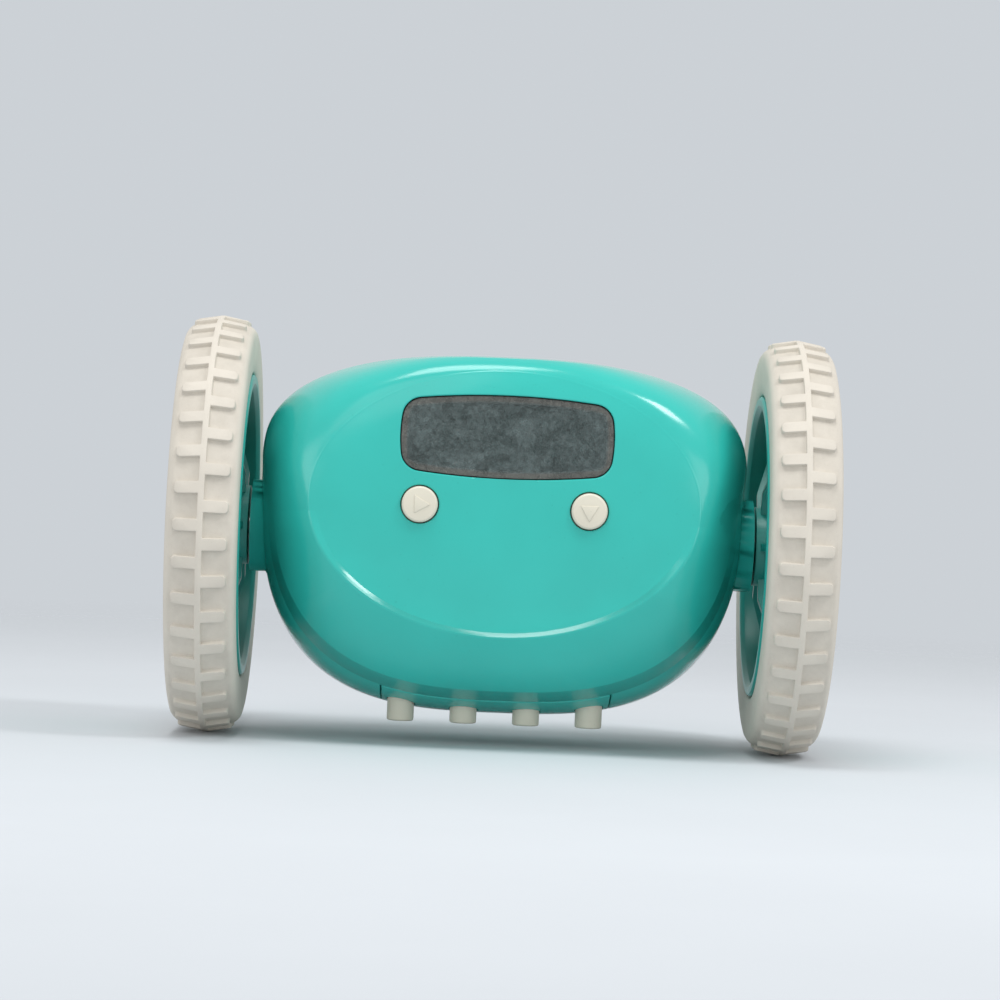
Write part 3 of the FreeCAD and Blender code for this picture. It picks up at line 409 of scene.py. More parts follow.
def smile_step(recipe, point, sizes):
    """Height in millimetres of the step along the face's lower edge, where the flank stands proud of it."""
    step_height = 0.85
    dish_height = 0.42
    x, y, z = recipe.axes(point)
    across = x / (sizes.face_half_width / MM)
    rise = (z - (AXLE + sizes.face_level) / MM) / (sizes.face_half_height / MM)
    scale = (across * across + rise * rise).root()
    lower = 1 - (rise / scale).band(-0.62, -0.10)
    step = scale.band(0.958, 0.990)
    dish = scale.band(0.76, 0.975)
    front = 1 - y.band(-20.0, -16.0)
    return (step * step_height + dish * dish * dish_height) * lower * front


def moulded_plastic(name, colour, gloss=0.3, grain=6.0, wear=1.0, coat=0.0, sizes=None):
    """Injection-moulded plastic with handling marks, faint flow shades and a fine grain."""
    recipe = Recipe(name)
    point = recipe.point()
    cloud = recipe.noise(point, 0.045, 3.0, 0.55)
    smear = recipe.noise(recipe.point((0.35, 0.35, 1.0)), 0.22, 6.0, 0.62)
    speck = recipe.noise(point, 1.9, 2.0).band(0.715, 0.76)
    hair = scratches(recipe, point, 0.17, 0.012)
    fine = recipe.noise(point, grain, 2.0)
    base = recipe.mix(cloud.band(0.3, 0.7), shade(colour, 0.955), shade(colour, 1.035))
    base = recipe.mix(speck * (0.28 * wear), base, shade(colour, 0.45))
    base = recipe.mix(hair * (0.03 * wear), base, shade(colour, 1.4))
    rough = gloss + smear.band(0.35, 0.75) * (0.09 * wear) + hair * 0.05 + fine * 0.02
    normal = recipe.bump(fine * 0.3 - hair * 0.2, 0.10, 0.02 * MM)
    if sizes:
        normal = recipe.bump(smile_step(recipe, point, sizes), 1.0, 1.0 * MM, normal)
    surface = recipe.plastic(
        Base_Color=base,
        Roughness=rough,
        Normal=normal,
        IOR=1.5,
        Coat_Weight=coat,
        Coat_Roughness=0.12,
    )
    return recipe.done(surface)


def tread_rubber(name, colour, radius, tread):
    """Cream rubber, faintly greyed in the tread's grooves and on the walls of its lugs: dirt and painted
    shade in these recesses.
    """
    recipe = Recipe(name)
    point = recipe.point()
    _, y, z = recipe.axes(point)
    up = z - AXLE / MM
    reach = (y * y + up * up).root()
    outer = radius / MM
    lug = tread / MM
    # Mask of the recesses between and beside the lugs, which take painted shade and dirt
    below_tops = 1 - reach.band(outer - 1.3 * lug, outer - 0.6 * lug)
    above_walls = reach.band(outer - 2.6 * lug, outer - 2.1 * lug)
    groove_dirt_and_shade = below_tops * above_walls
    cloud = recipe.noise(point, 0.12, 4.0, 0.6)
    dust = recipe.noise(point, 0.35, 6.0, 0.65)
    grit = recipe.noise(point, 4.5, 3.0)
    base = recipe.mix(cloud.band(0.3, 0.7), shade(colour, 0.95), shade(colour, 1.04))
    # Painted shade and dirt: greys the groove floors and lug walls in patches
    base = recipe.mix(groove_dirt_and_shade * dust.band(0.2, 0.7) * 0.22, base, srgb(0.58, 0.55, 0.50))
    base = recipe.mix(grit.band(0.64, 0.72) * 0.18, base, srgb(0.45, 0.43, 0.40))
    rough = 0.60 + dust.band(0.3, 0.7) * 0.14
    normal = recipe.bump(grit * 0.4 + dust * 0.6, 0.3, 0.05 * MM)
    surface = recipe.plastic(Base_Color=base, Roughness=rough, Normal=normal, IOR=1.45)
    return recipe.done(surface)


def smoked_window(name, colour, middle, half_x, half_z):
    """Clear moulded window, dusty and wiped in clouds, with its border masked from behind."""
    recipe = Recipe(name)
    point = recipe.point()
    x, _, z = recipe.axes(point)
    rise = z - middle / MM
    wide = half_x / MM
    tall = half_z / MM
    across = x / wide
    down = rise / tall
    edge_bow = 0.20
    side_bow = 0.04
    corner = 2.5
    bow = tall * (1 - edge_bow) + (1 - across * across) * (tall * edge_bow)
    side = wide * (1 - side_bow) + (1 - down * down) * (wide * side_bow)
    inward = (side - abs(x)).softly_least(bow - abs(rise), corner)
    ragged = recipe.noise(point, 1.4, 5.0, 0.7) * 0.5
    border = 1 - (inward + ragged).band(1.15, 1.75)
    cloud = recipe.noise(point, 0.16, 9.0, 0.68, 0.6)
    dust = recipe.noise(point, 0.75, 9.0, 0.72, 0.4)
    grain = recipe.noise(point, 3.2, 4.0, 0.7)
    wipe = recipe.noise(recipe.point((0.3, 1.0, 1.0)), 0.5, 5.0, 0.6)
    hair = scratches(recipe, point, 0.35, 0.02)
    haze = cloud.band(0.42, 0.68) * 0.36 + dust.band(0.44, 0.68) * 0.36 + grain.band(0.45, 0.75) * 0.16
    haze = haze + hair * 0.2 + 0.04
    haze = (haze + border * (0.42 + dust.band(0.35, 0.7) * 0.25)).clamped()
    film_colour = recipe.mix(border, srgb(0.42, 0.48, 0.48), srgb(0.355, 0.36, 0.345))
    film_colour = recipe.mix(grain.band(0.55, 0.75) * 0.5, film_colour, srgb(0.62, 0.60, 0.57))
    glass = recipe.plastic(
        Base_Color=colour,
        Roughness=0.08 + wipe.band(0.4, 0.8) * 0.12,
        IOR=1.49,
        Transmission_Weight=1.0,
    )
    film = recipe.plastic(Base_Color=film_colour, Roughness=0.55, IOR=1.4)
    return recipe.done(recipe.node("MixShader", None, {0: haze, 1: glass, 2: film}))


def metal(name, colour, rough=0.3, lines=(1, 1, 1), tarnish=0.3):
    """Bright metal with fine turning or drawing lines and a little tarnish."""
    recipe = Recipe(name)
    point = recipe.point()
    drawn = recipe.noise(recipe.point(lines), 2.5, 4.0, 0.6)
    cloud = recipe.noise(point, 0.4, 4.0, 0.6)
    base = recipe.mix(cloud.band(0.35, 0.75) * tarnish, colour, shade(colour, 0.55))
    surface = recipe.plastic(
        Base_Color=base,
        Metallic=1.0,
        Roughness=rough + drawn.band(0.3, 0.7) * 0.14,
        Normal=recipe.bump(drawn, 0.25, 0.02 * MM),
    )
    return recipe.done(surface)


def circuit_board(name, colour):
    """Green solder mask over paler tracks, with tinned pads."""
    recipe = Recipe(name)
    point = recipe.point()
    bricks = {"Vector": recipe.point((1, 0, 1)), "Scale": 0.9, "Mortar Size": 0.06}
    maze = recipe.node("TexBrick", None, bricks, output=BRICK_MORTAR)
    gate = recipe.noise(point, 0.16, 1.0).band(0.46, 0.50)
    discs = (0.32 - recipe.cells(point, 0.33)).band(0.0, 0.03)
    pads = discs * recipe.noise(point, 0.2, 0.0).band(0.5, 0.52)
    tracks = maze * gate
    base = recipe.mix(tracks, colour, shade(colour, 1.7))
    base = recipe.mix(pads, base, srgb(0.78, 0.78, 0.76))
    surface = recipe.plastic(
        Base_Color=base,
        Roughness=0.38 - pads * 0.1,
        Metallic=pads,
        Normal=recipe.bump(tracks * 0.4 + pads, 0.4, 0.05 * MM),
    )
    return recipe.done(surface)


def cell_sleeve(name, colour, way, half_length):
    """Battery sleeve without print: dark body, a bright band at the plus end, and bare ends."""
    recipe = Recipe(name)
    point = recipe.point()
    x, _, _ = recipe.axes(point)
    along = x * way
    band_start = half_length * 0.55
    band = along.band(band_start - 0.1, band_start + 0.1)
    cap = along.band(half_length - 1.7, half_length - 1.5)
    foot = 1 - along.band(-half_length + 0.5, -half_length + 0.7)
    bare = (cap + foot).clamped()
    scuff = recipe.noise(point, 0.9, 6.0, 0.7)
    base = recipe.mix(band, colour, srgb(0.72, 0.55, 0.30))
    base = recipe.mix(scuff.band(0.62, 0.7) * 0.3, base, srgb(0.75, 0.75, 0.75))
    base = recipe.mix(bare, base, srgb(0.75, 0.75, 0.76))
    surface = recipe.plastic(
        Base_Color=base,
        Metallic=(band * 0.6 + bare).clamped(),
        Roughness=0.28 + scuff.band(0.4, 0.8) * 0.2,
        IOR=1.5,
    )
    return recipe.done(surface)


def pale_floor(name, colour):
    """Plain studio paper that fades into the backdrop's even tone further out."""
    recipe = Recipe(name)
    point = recipe.point()
    x, y, _ = recipe.axes(point)
    reach = (x * x + y * y).root() * MM
    fade_start = 0.22
    fade_end = 0.75
    cloud = recipe.noise(point, 0.01, 4.0, 0.6)
    base = recipe.mix(cloud.band(0.3, 0.7), shade(colour, 0.985), shade(colour, 1.01))
    fibre = recipe.noise(point, 1.2, 4.0)
    surface = recipe.plastic(
        Base_Color=base,
        Roughness=0.85,
        Normal=recipe.bump(fibre, 0.1, 0.1 * MM),
        Specular_IOR_Level=0.2,
        Alpha=1 - reach.band(fade_start, fade_end),
    )
    return recipe.done(surface)


# Outer surface of the body, worked out as in the solid


def signed_power(value, power):
    return math.copysign(abs(value) ** power, value)


def outline_point(sizes, angle):
    """The widest outline, in X and in Z from the floor: a superellipse, fuller below than above."""
    upper = math.sin(angle) > 0
    power = 2 / (2.6 if upper else 3.0)
    reach = sizes.crown if upper else sizes.keel
    x = sizes.half_width * signed_power(math.cos(angle), power)
    return x, AXLE + sizes.shoulder + reach * signed_power(math.sin(angle), power)


def oval_point(sizes, side, angle, scale=1.0):
    """The edge of the face, side -1, or of the flat back, side 1, in X and in Z from the floor."""
    wide, tall, level = (
        (sizes.face_half_width, sizes.face_half_height, sizes.face_level)
        if side < 0
        else (sizes.back_half_width, sizes.back_half_height, sizes.back_level)
    )
    return wide * scale * math.cos(angle), AXLE + level + tall * scale * math.sin(angle)


def flank_point(sizes, side, angle, share):
    """The surface between the seam and the edge of the face or back."""
    lower = (1 - math.sin(angle)) / 2
    fullness = 0.995 - (0.095 * lower if side < 0 else 0)
    draw = (1 - math.sqrt(1 - (fullness * share) ** 2)) / (1 - math.sqrt(1 - fullness**2))
    x0, z0 = outline_point(sizes, angle)
    x1, z1 = oval_point(sizes, side, angle)
    depth = side * share * (sizes.front_depth if side < 0 else sizes.back_depth)
    return Vector((x0 + (x1 - x0) * draw, depth, z0 + (z1 - z0) * draw))


def face_point(sizes, angle, scale):
    """The domed face."""
    x, z = oval_point(sizes, -1, angle, scale)
    return Vector((x, -sizes.front_depth - sizes.dome * (1 - scale**2), z))


def back_point(sizes, angle, scale):
    """The flat back."""
    x, z = oval_point(sizes, 1, angle, scale)
    return Vector((x, sizes.back_depth, z))


def guide_surface(name, place, across=192, along=64):
    """A fine skin that only lends its normals: a grid set in place, point by point."""
    deselect()
    bpy.ops.mesh.primitive_grid_add(x_subdivisions=across, y_subdivisions=along, size=2)
    obj = bpy.context.object
    obj.name = name
    for vert in obj.data.vertices:
        turn = (vert.co.x + 1) * math.pi
        share = (vert.co.y + 1) / 2
        vert.co = place(turn, share)
    obj.data.update()
    return obj


class Guide:
    """Looks up the smooth normal of a guide surface near a point."""

    def __init__(self, obj):
        mesh = obj.data
        self.points = [vert.co.copy() for vert in mesh.vertices]
        self.normals = [vert.normal.copy() for vert in mesh.vertices]
        self.faces = [tuple(polygon.vertices) for polygon in mesh.polygons]
        self.tree = BVHTree.FromPolygons(self.points, self.faces)
        bpy.data.objects.remove(obj)

    def near(self, point):
        """Distance to the surface and its normal there."""
        spot, flat, index, distance = self.tree.find_nearest(point)
        face = self.faces[index]
        weights = poly_3d_calc([self.points[i] for i in face], spot)
        normal = Vector()
        for weight, i in zip(weights, face):
            normal += self.normals[i] * weight
        return distance, (normal if normal.length > 1e-6 else flat).normalized()


def body_guides(sizes):
    """Guide surfaces of the front flank, the face, the rear flank and the flat back."""

    def eased(share):
        return math.sin(math.pi / 2 * share)

    return [
        Guide(guide_surface("front_flank", lambda a, s: flank_point(sizes, -1, a, eased(s)))),
        Guide(guide_surface("face_dome", lambda a, s: face_point(sizes, a, max(s, 0.01)))),
        Guide(guide_surface("rear_flank", lambda a, s: flank_point(sizes, 1, a, eased(s)))),
        Guide(guide_surface("flat_back", lambda a, s: back_point(sizes, a, max(s, 0.01)))),
    ]


def soften_rims(obj, guides, width, reach=0.03 * MM, crease=14):
    """Rounds the edges where the outer surface ends or creases, and marks the new faces."""
    mesh = edit(obj)
    bpy.ops.mesh.select_mode(type="EDGE")
    near = {}
    for vert in mesh.verts:
        near[vert] = min(guide.near(vert.co)[0] for guide in guides) < reach
    for edge in mesh.edges:
        first, second = edge.verts
        sharp = len(edge.link_faces) == 2 and edge.calc_face_angle(0) > math.radians(crease)
        edge.select_set(sharp and near[first] and near[second])
    show_picks(obj, mesh)
    bpy.ops.mesh.bevel(offset_type="OFFSET", offset=width, segments=2, affect="EDGES", clamp_overlap=True)
    mesh = bmesh.from_edit_mesh(obj.data)
    layer = mesh.faces.layers.int.new("rim")
    for face in mesh.faces:
        face[layer] = int(face.select)
    bmesh.update_edit_mesh(obj.data)
    bpy.ops.mesh.select_mode(type="VERT")
    bpy.ops.object.mode_set(mode="OBJECT")


def upper_blend(sizes, point, normal, guides, index):
    """Over the upper part the face runs into the flank without a crease, so the two normals mix there."""
    blend_start = -0.35
    blend_length = 0.6
    blend_reach = 0.26
    x = point.x / sizes.face_half_width
    z = (point.z - AXLE - sizes.face_level) / sizes.face_half_height
    scale = math.hypot(x, z)
    rise = min(max((z / max(scale, 0.001) - blend_start) / blend_length, 0), 1)
    if index > 1 or point.y > -0.5 * sizes.front_depth or rise == 0:
        return normal
    share = min(max(1 - abs(scale - 1) / blend_reach, 0), 1)
    share = 0.5 * rise * share * share * (3 - 2 * share)
    other = guides[1 - index].near(point)[1]
    if other.dot(normal) < 0:
        other = -other
    return normal.lerp(other, share).normalized()


def polish(obj, guides, sizes, shifts=(0.0,), reach=0.09 * MM, alike=0.85):
    """Gives the faces that lie on the body's outer surface its exact normals, for clean reflections."""
    mesh = obj.data
    normals = [Vector() for _ in mesh.loops]
    rims = mesh.attributes.get("rim")
    for shift in shifts:
        offset = Vector((0, shift, 0))
        known = {}
        for polygon in mesh.polygons:
            if rims and rims.data[polygon.index].value:
                continue
            middle = polygon.center - offset
            best = None
            for index, guide in enumerate(guides):
                distance, normal = guide.near(middle)
                if distance < reach and abs(normal.dot(polygon.normal)) > alike:
                    if best is None or distance < best[0]:
                        best = (distance, index)
            if best is None:
                continue
            for loop in polygon.loop_indices:
                vert = mesh.loops[loop].vertex_index
                key = (best[1], vert)
                if key not in known:
                    spot = mesh.vertices[vert].co - offset
                    exact = guides[best[1]].near(spot)[1]
                    if len(guides) > 1:
                        exact = upper_blend(sizes, spot, exact, guides, best[1])
                    known[key] = exact
                normal = known[key]
                normals[loop] = normal if normal.dot(polygon.normal) > 0 else -normal
    if rims:
        mesh.attributes.remove(rims)
    mesh.normals_split_custom_set(normals)


# Tyre, made as a band of rings with its tread raised from it


def axle_reach(point):
    """Distance of a point from the axle."""
    return math.hypot(point.y, point.z - AXLE)


def drawn_out(point, factor):
    """A point whose distance from the axle is multiplied."""
    return Vector((point.x, point.y * factor, AXLE + (point.z - AXLE) * factor))


def tread_angles(wheel):
    """Places round the tyre, so that both rows of lugs start and end on one of them."""
    half = math.degrees(wheel.lug_half / (wheel.radius - wheel.tread))
    pitch = 360 / wheel.lugs
    angles = []
    for lug in range(wheel.lugs):
        start = lug * pitch
        angles += [start - half, start + half, start + pitch / 2 - half, start + pitch / 2 + half]
    return [math.radians(angle) for angle in angles]


def tyre_profile(wheel):
    """Section of the hollow tyre, as places along the axle and radii in millimetres, running round it."""
    base = (wheel.radius - wheel.tread) / MM
    half = wheel.half_width / MM
    lug = wheel.lug_reach / MM
    rib = wheel.rib / MM
    wall = 2.8
    seat = 12.35
    seat_inset = 1.25
    shoulder = [(lug + 0.55, base - 0.22), (half - 0.62, base - 0.75), (half - 0.25, base - 1.5)]
    cheek = [(half - 0.05, base - 2.6), (half, base - 4.0)]
    cheek += [(half - 0.03, base - 6.0), (half - 0.12, base - 8.3)]
    lip = [(half - 0.25, base - 10.2), (half - 0.5, base - 10.9), (half - seat_inset, base - 11.05)]
    rim_seat = [(half - seat_inset, base - seat), (half - wall, base - seat)]
    hollow = [(half - wall, base - wall - 1.4), (half - wall - 1.2, base - wall)]
    side = [(rib, base), (lug, base)] + shoulder + cheek + lip + rim_seat + hollow
    mirror = [(-x, r) for x, r in reversed(side)]
    return side + mirror


def tyre_mesh(wheel, middle, side):
    """One tyre: rings extruded round its section, tread raised and its edges rounded."""
    angles = tread_angles(wheel)
    profile = tyre_profile(wheel)

    def place(ring, step):
        x, radius = profile[ring % len(profile)]
        angle = angles[step]
        reach = radius * MM
        return Vector((middle + side * x * MM, reach * math.cos(angle), AXLE + reach * math.sin(angle)))

    deselect()
    bpy.ops.mesh.primitive_circle_add(vertices=len(angles), radius=1.0)
    obj = bpy.context.object
    mesh = edit(obj)
    layer = mesh.verts.layers.int.new("step")
    mesh.verts.ensure_lookup_table()
    for step, vert in enumerate(mesh.verts):
        vert[layer] = step
        vert.co = place(0, step)
    pick_all()
    for ring in range(1, len(profile) + 1):
        bpy.ops.mesh.extrude_edges_move()
        mesh = bmesh.from_edit_mesh(obj.data)
        layer = mesh.verts.layers.int["step"]
        for vert in mesh.verts:
            if vert.select:
                vert.co = place(ring, vert[layer])
        bmesh.update_edit_mesh(obj.data)
    pick_all()
    bpy.ops.mesh.remove_doubles(threshold=0.000005)
    bpy.ops.mesh.normals_make_consistent(inside=False)
    raise_tread(obj, wheel, middle, side)
    bpy.ops.object.mode_set(mode="OBJECT")
    crown_tread(obj, wheel, middle)
    obj.data.attributes.remove(obj.data.attributes["step"])
    round_edges(obj, 0.22 * MM, angle=38)
    smooth(obj, 40)
    return obj


def crown_tread(obj, wheel, middle):
    """Lets the tread fall away in a curve from its middle rib to the shoulders, less so further in."""
    still = wheel.radius - wheel.tread - 4 * MM
    blend = 3.5 * MM
    for vert in obj.data.vertices:
        across = min(abs(vert.co.x - middle) / wheel.lug_reach, 1)
        reach = axle_reach(vert.co)
        depth = min(max((reach - still) / blend, 0), 1)
        vert.co = drawn_out(vert.co, 1 - wheel.fall * across * across * depth / reach)


def raise_tread(obj, wheel, middle, side):
    """Lifts the centre rib and both rows of lugs, then rounds the lugs' ends."""
    base = wheel.radius - wheel.tread
    skin = 0.997 * base
    pitch = math.tau / wheel.lugs
    half = wheel.lug_half / base
    bpy.ops.mesh.select_all(action="DESELECT")
    bpy.ops.mesh.select_mode(type="FACE")
    mesh = bmesh.from_edit_mesh(obj.data)
    for face in mesh.faces:
        spot = face.calc_center_median()
        across = (spot.x - middle) * side
        if axle_reach(spot) < skin or abs(across) > wheel.lug_reach:
            continue
        turn = math.atan2(spot.z - AXLE, spot.y) + (0 if across > 0 else pitch / 2)
        near = abs((turn + pitch / 2) % pitch - pitch / 2)
        face.select_set(abs(across) < wheel.rib or near < half)
    show_picks(obj, mesh)
    bpy.ops.mesh.extrude_region_move()
    mesh = bmesh.from_edit_mesh(obj.data)
    for vert in mesh.verts:
        if vert.select:
            vert.co = drawn_out(vert.co, wheel.radius / axle_reach(vert.co))
    bmesh.update_edit_mesh(obj.data)
    bpy.ops.mesh.select_all(action="DESELECT")
    bpy.ops.mesh.select_mode(type="EDGE")
    mesh = bmesh.from_edit_mesh(obj.data)
    for edge in mesh.edges:
        first, second = edge.verts
        rise = abs(axle_reach(first.co) - axle_reach(second.co))
        outer = abs(abs(first.co.x - middle) - wheel.lug_reach) < 0.02 * MM
        upright = abs(first.co.x - second.co.x) < 0.001 * MM
        edge.select_set(outer and upright and rise > 0.8 * wheel.tread)
    show_picks(obj, mesh)
    bpy.ops.mesh.bevel(offset_type="OFFSET", offset=wheel.lug_round, segments=3, affect="EDGES")
    bpy.ops.mesh.select_mode(type="VERT")


# Coil springs of the battery contacts


def coil(name, turns, wire, wide, narrow, start, end):
    """A conical coil from a wide foot to a narrow tip: a ring of wire drawn round by a screw."""
    deselect()
    bpy.ops.mesh.primitive_circle_add(vertices=8, radius=wire, rotation=(math.pi / 2, 0, 0))
    obj = bpy.context.object
    obj.location.x = wide
    settle(obj)
    length = (end - start).length - 2 * wire
    apply_modifier(
        obj,
        "SCREW",
        angle=math.tau,
        screw_offset=length / turns,
        iterations=turns,
        steps=20,
        render_steps=20,
        axis="Z",
    )
    for vert in obj.data.vertices:
        share = min(max(vert.co.z / length, 0), 1)
        reach = math.hypot(vert.co.x, vert.co.y)
        factor = 1 - (wide - narrow) * share / reach
        vert.co = Vector((vert.co.x * factor, vert.co.y * factor, vert.co.z + wire))
    edit(obj)
    bpy.ops.mesh.select_mode(type="EDGE")
    bpy.ops.mesh.select_non_manifold()
    bpy.ops.mesh.edge_face_add()
    pick_all()
    bpy.ops.mesh.normals_make_consistent(inside=False)
    bpy.ops.object.mode_set(mode="OBJECT")
    turn = (end - start).to_track_quat("Z", "Y")
    obj.data.transform(Matrix.Translation(start) @ turn.to_matrix().to_4x4())
    smooth(obj, 60)
    obj.name = name
    return obj


def join(objects):
    activate(objects[0])
    for obj in objects[1:]:
        obj.select_set(True)
    bpy.ops.object.join()
    return objects[0]


# Operators, one for each piece or group of like pieces


class Builder(bpy.types.Operator):
    """Shared settings of the clock's operators."""

    bl_options = {"REGISTER"}

    def execute(self, context):
        self.build(context.scene.clock_colours, context.scene.clock_body, context.scene.clock_wheel)
        return {"FINISHED"}


class CLOCK_OT_shells(Builder):
    """Front shell, rear shell, button panel and battery door, with polished outer surfaces"""

    bl_idname = "clock.shells"
    bl_label = "Shells"

    def build(self, colours, body, wheel):
        guides = body_guides(body)
        shell = moulded_plastic("aqua_body_plastic", tuple(colours.shell), gloss=0.13, sizes=body)
        thin = 0.22 * MM
        rims = {"front_shell": 0.36 * MM, "rear_shell": thin, "button_panel": thin, "battery_door": thin}
        for node, width in rims.items():
            copy = solid_copy(node, flat_angle=0)
            soften_rims(copy, guides, width)
            smooth(copy, 30)
            polish(copy, guides, body)
            finish_piece(copy, node + "_shown", [node], shell)
        window = solid_copy("display_window", flat_angle=0)
        smooth(window, 30)
        set_back = 0.35 * MM
        thickness = 1.5 * MM
        polish(window, guides[1:2], body, shifts=(set_back, set_back + thickness))
        low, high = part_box("display_window")
        level = (low.z + high.z) / 2
        half = (high - low) / 2
        finish = smoked_window("smoked_window", tuple(colours.lens), level, half.x, half.z)
        finish_piece(window, "display_window_shown", ["display_window"], finish)


class CLOCK_OT_buttons(Builder):
    """Eye buttons and setting buttons"""

    bl_idname = "clock.buttons"
    bl_label = "Buttons"

    def build(self, colours, body, wheel):
        cream = moulded_plastic("cream_button_plastic", tuple(colours.button), gloss=0.34, wear=0.8)
        for node in ("left_eye_button", "right_eye_button"):
            dress(node, cream, rounding=0.12 * MM)
        for node in ("clock_button", "alarm_button", "hour_button", "minute_button"):
            dress(node, cream, rounding=0.15 * MM)


class CLOCK_OT_tyres(Builder):
    """Both rubber tyres with their raised treads"""

    bl_idname = "clock.tyres"
    bl_label = "Tyres"

    def build(self, colours, body, wheel):
        rubber = tread_rubber("cream_tread_rubber", tuple(colours.tyre), wheel.radius, wheel.tread)
        for name, side in SIDES.items():
            node = name + "_tyre"
            low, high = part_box(node)
            obj = tyre_mesh(wheel, (low.x + high.x) / 2, side)
            finish_piece(obj, node + "_shown", [node], rubber)


class CLOCK_OT_wheels(Builder):
    """Rims, hub caps, wheel screws and drive shafts"""

    bl_idname = "clock.wheels"
    bl_label = "Wheels"

    def build(self, colours, body, wheel):
        rim = moulded_plastic("aqua_rim_plastic", tuple(colours.rim), gloss=0.33)
        steel = metal("turned_steel", tuple(colours.steel), 0.28, lines=(0.2, 1, 1))
        for name in SIDES:
            dress(name + "_rim", rim, rounding=0.2 * MM)
            dress(name + "_hub_cap", rim, rounding=0.1 * MM)
            dress(name + "_wheel_screw", steel)
            dress(name + "_drive_shaft", steel)


class CLOCK_OT_drives(Builder):
    """Motors, gears, bushes and gearboxes of both sides"""

    bl_idname = "clock.drives"
    bl_label = "Drives"

    def build(self, colours, body, wheel):
        brass = metal("turned_brass", tuple(colours.brass), 0.26, lines=(0.2, 1, 1))
        can = metal("motor_can_metal", tuple(colours.steel), 0.34, lines=(0.05, 1, 1), tarnish=0.15)
        pin = metal("pin_steel", shade(tuple(colours.steel), 0.9), 0.22, lines=(0.2, 1, 1))
        nylon = moulded_plastic("gear_nylon", tuple(colours.nylon), gloss=0.42, wear=0.4)
        box = moulded_plastic("gearbox_plastic", tuple(colours.black), gloss=0.48, wear=0.6)
        finishes = {
            "bush": brass,
            "pinion": brass,
            "motor": can,
            "motor_shaft": pin,
            "idler_pin": pin,
            "output_gear": nylon,
            "compound_gear": nylon,
            "gearbox_base": box,
            "gearbox_cover": box,
        }
        for name in SIDES:
            for part, finish in finishes.items():
                dress(name + "_" + part, finish)


class CLOCK_OT_display(Builder):
    """Display stack and circuit boards"""

    bl_idname = "clock.display"
    bl_label = "Display and boards"

    def build(self, colours, body, wheel):
        black = moulded_plastic("black_frame_plastic", srgb(0.34, 0.33, 0.31), gloss=0.5, wear=0.8)
        grey = tuple(colours.display)
        panel = moulded_plastic("display_panel_glass", grey, gloss=0.16, wear=0.3, coat=0.4)
        light = moulded_plastic("backlight_diffuser", srgb(0.86, 0.88, 0.85), gloss=0.4, wear=0.2)
        board = circuit_board("green_circuit_board", tuple(colours.board))
        switch = moulded_plastic("switch_plastic", tuple(colours.black), gloss=0.4, wear=0.3)
        dress("display_frame", black)
        dress("lcd_panel", panel)
        dress("backlight", light)
        dress("main_board", board)
        dress("button_board", board)
        dress("push_switches", switch, rounding=0.1 * MM)


class CLOCK_OT_power(Builder):
    """Battery box, cells, contacts and loudspeaker"""

    bl_idname = "clock.power"
    bl_label = "Batteries and loudspeaker"

    def build(self, colours, body, wheel):
        box = moulded_plastic("battery_box_plastic", tuple(colours.black), gloss=0.5, wear=0.6)
        steel = metal("plated_spring_steel", tuple(colours.steel), 0.24, tarnish=0.2)
        dress("battery_box", box)
        dress("battery_plates", steel)
        wire = 0.22 * MM
        foot_radius = 2.9 * MM
        tip_radius = 1.6 * MM
        length = 2.9 * MM
        gap = 0.05 * MM
        springs = []
        for number in range(1, 5):
            node = "battery_cell_%d" % number
            low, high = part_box(node)
            half = (high.x - low.x) / 2
            way = self.plus_end(node)
            finish = cell_sleeve("cell_sleeve_%d" % number, tuple(colours.jacket), way, half / MM)
            dress(node, finish)
            middle = (low + high) / 2
            foot = Vector((-way * (half + length), middle.y, middle.z))
            tip = Vector((-way * (half + gap), middle.y, middle.z))
            springs.append(coil("spring_%d" % number, 4, wire, foot_radius, tip_radius, foot, tip))
        finish_piece(join(springs), "battery_springs_shown", ["battery_springs"], steel)
        cone = moulded_plastic("speaker_black", tuple(colours.black), gloss=0.55, wear=0.5)
        dress("speaker", cone)

    def plus_end(self, node):
        """The side where a cell's small cap is."""
        low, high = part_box(node)
        middle = (low + high) / 2
        verts = frame["nodes"][node].data.vertices
        ends = {-1: 0.0, 1: 0.0}
        for vert in verts:
            for side, edge in ((-1, low.x), (1, high.x)):
                if abs(vert.co.x - edge) < 0.01 * MM:
                    reach = math.hypot(vert.co.y - middle.y, vert.co.z - middle.z)
                    ends[side] = max(ends[side], reach)
        return 1 if ends[1] < ends[-1] else -1


class CLOCK_OT_fasteners(Builder):
    """Case screws in the wells of the rear shell"""

    bl_idname = "clock.fasteners"
    bl_label = "Case screws"

    def build(self, colours, body, wheel):
        steel = metal("zinc_screw_steel", tuple(colours.steel), 0.3, tarnish=0.4)
        dress("case_screws", steel)


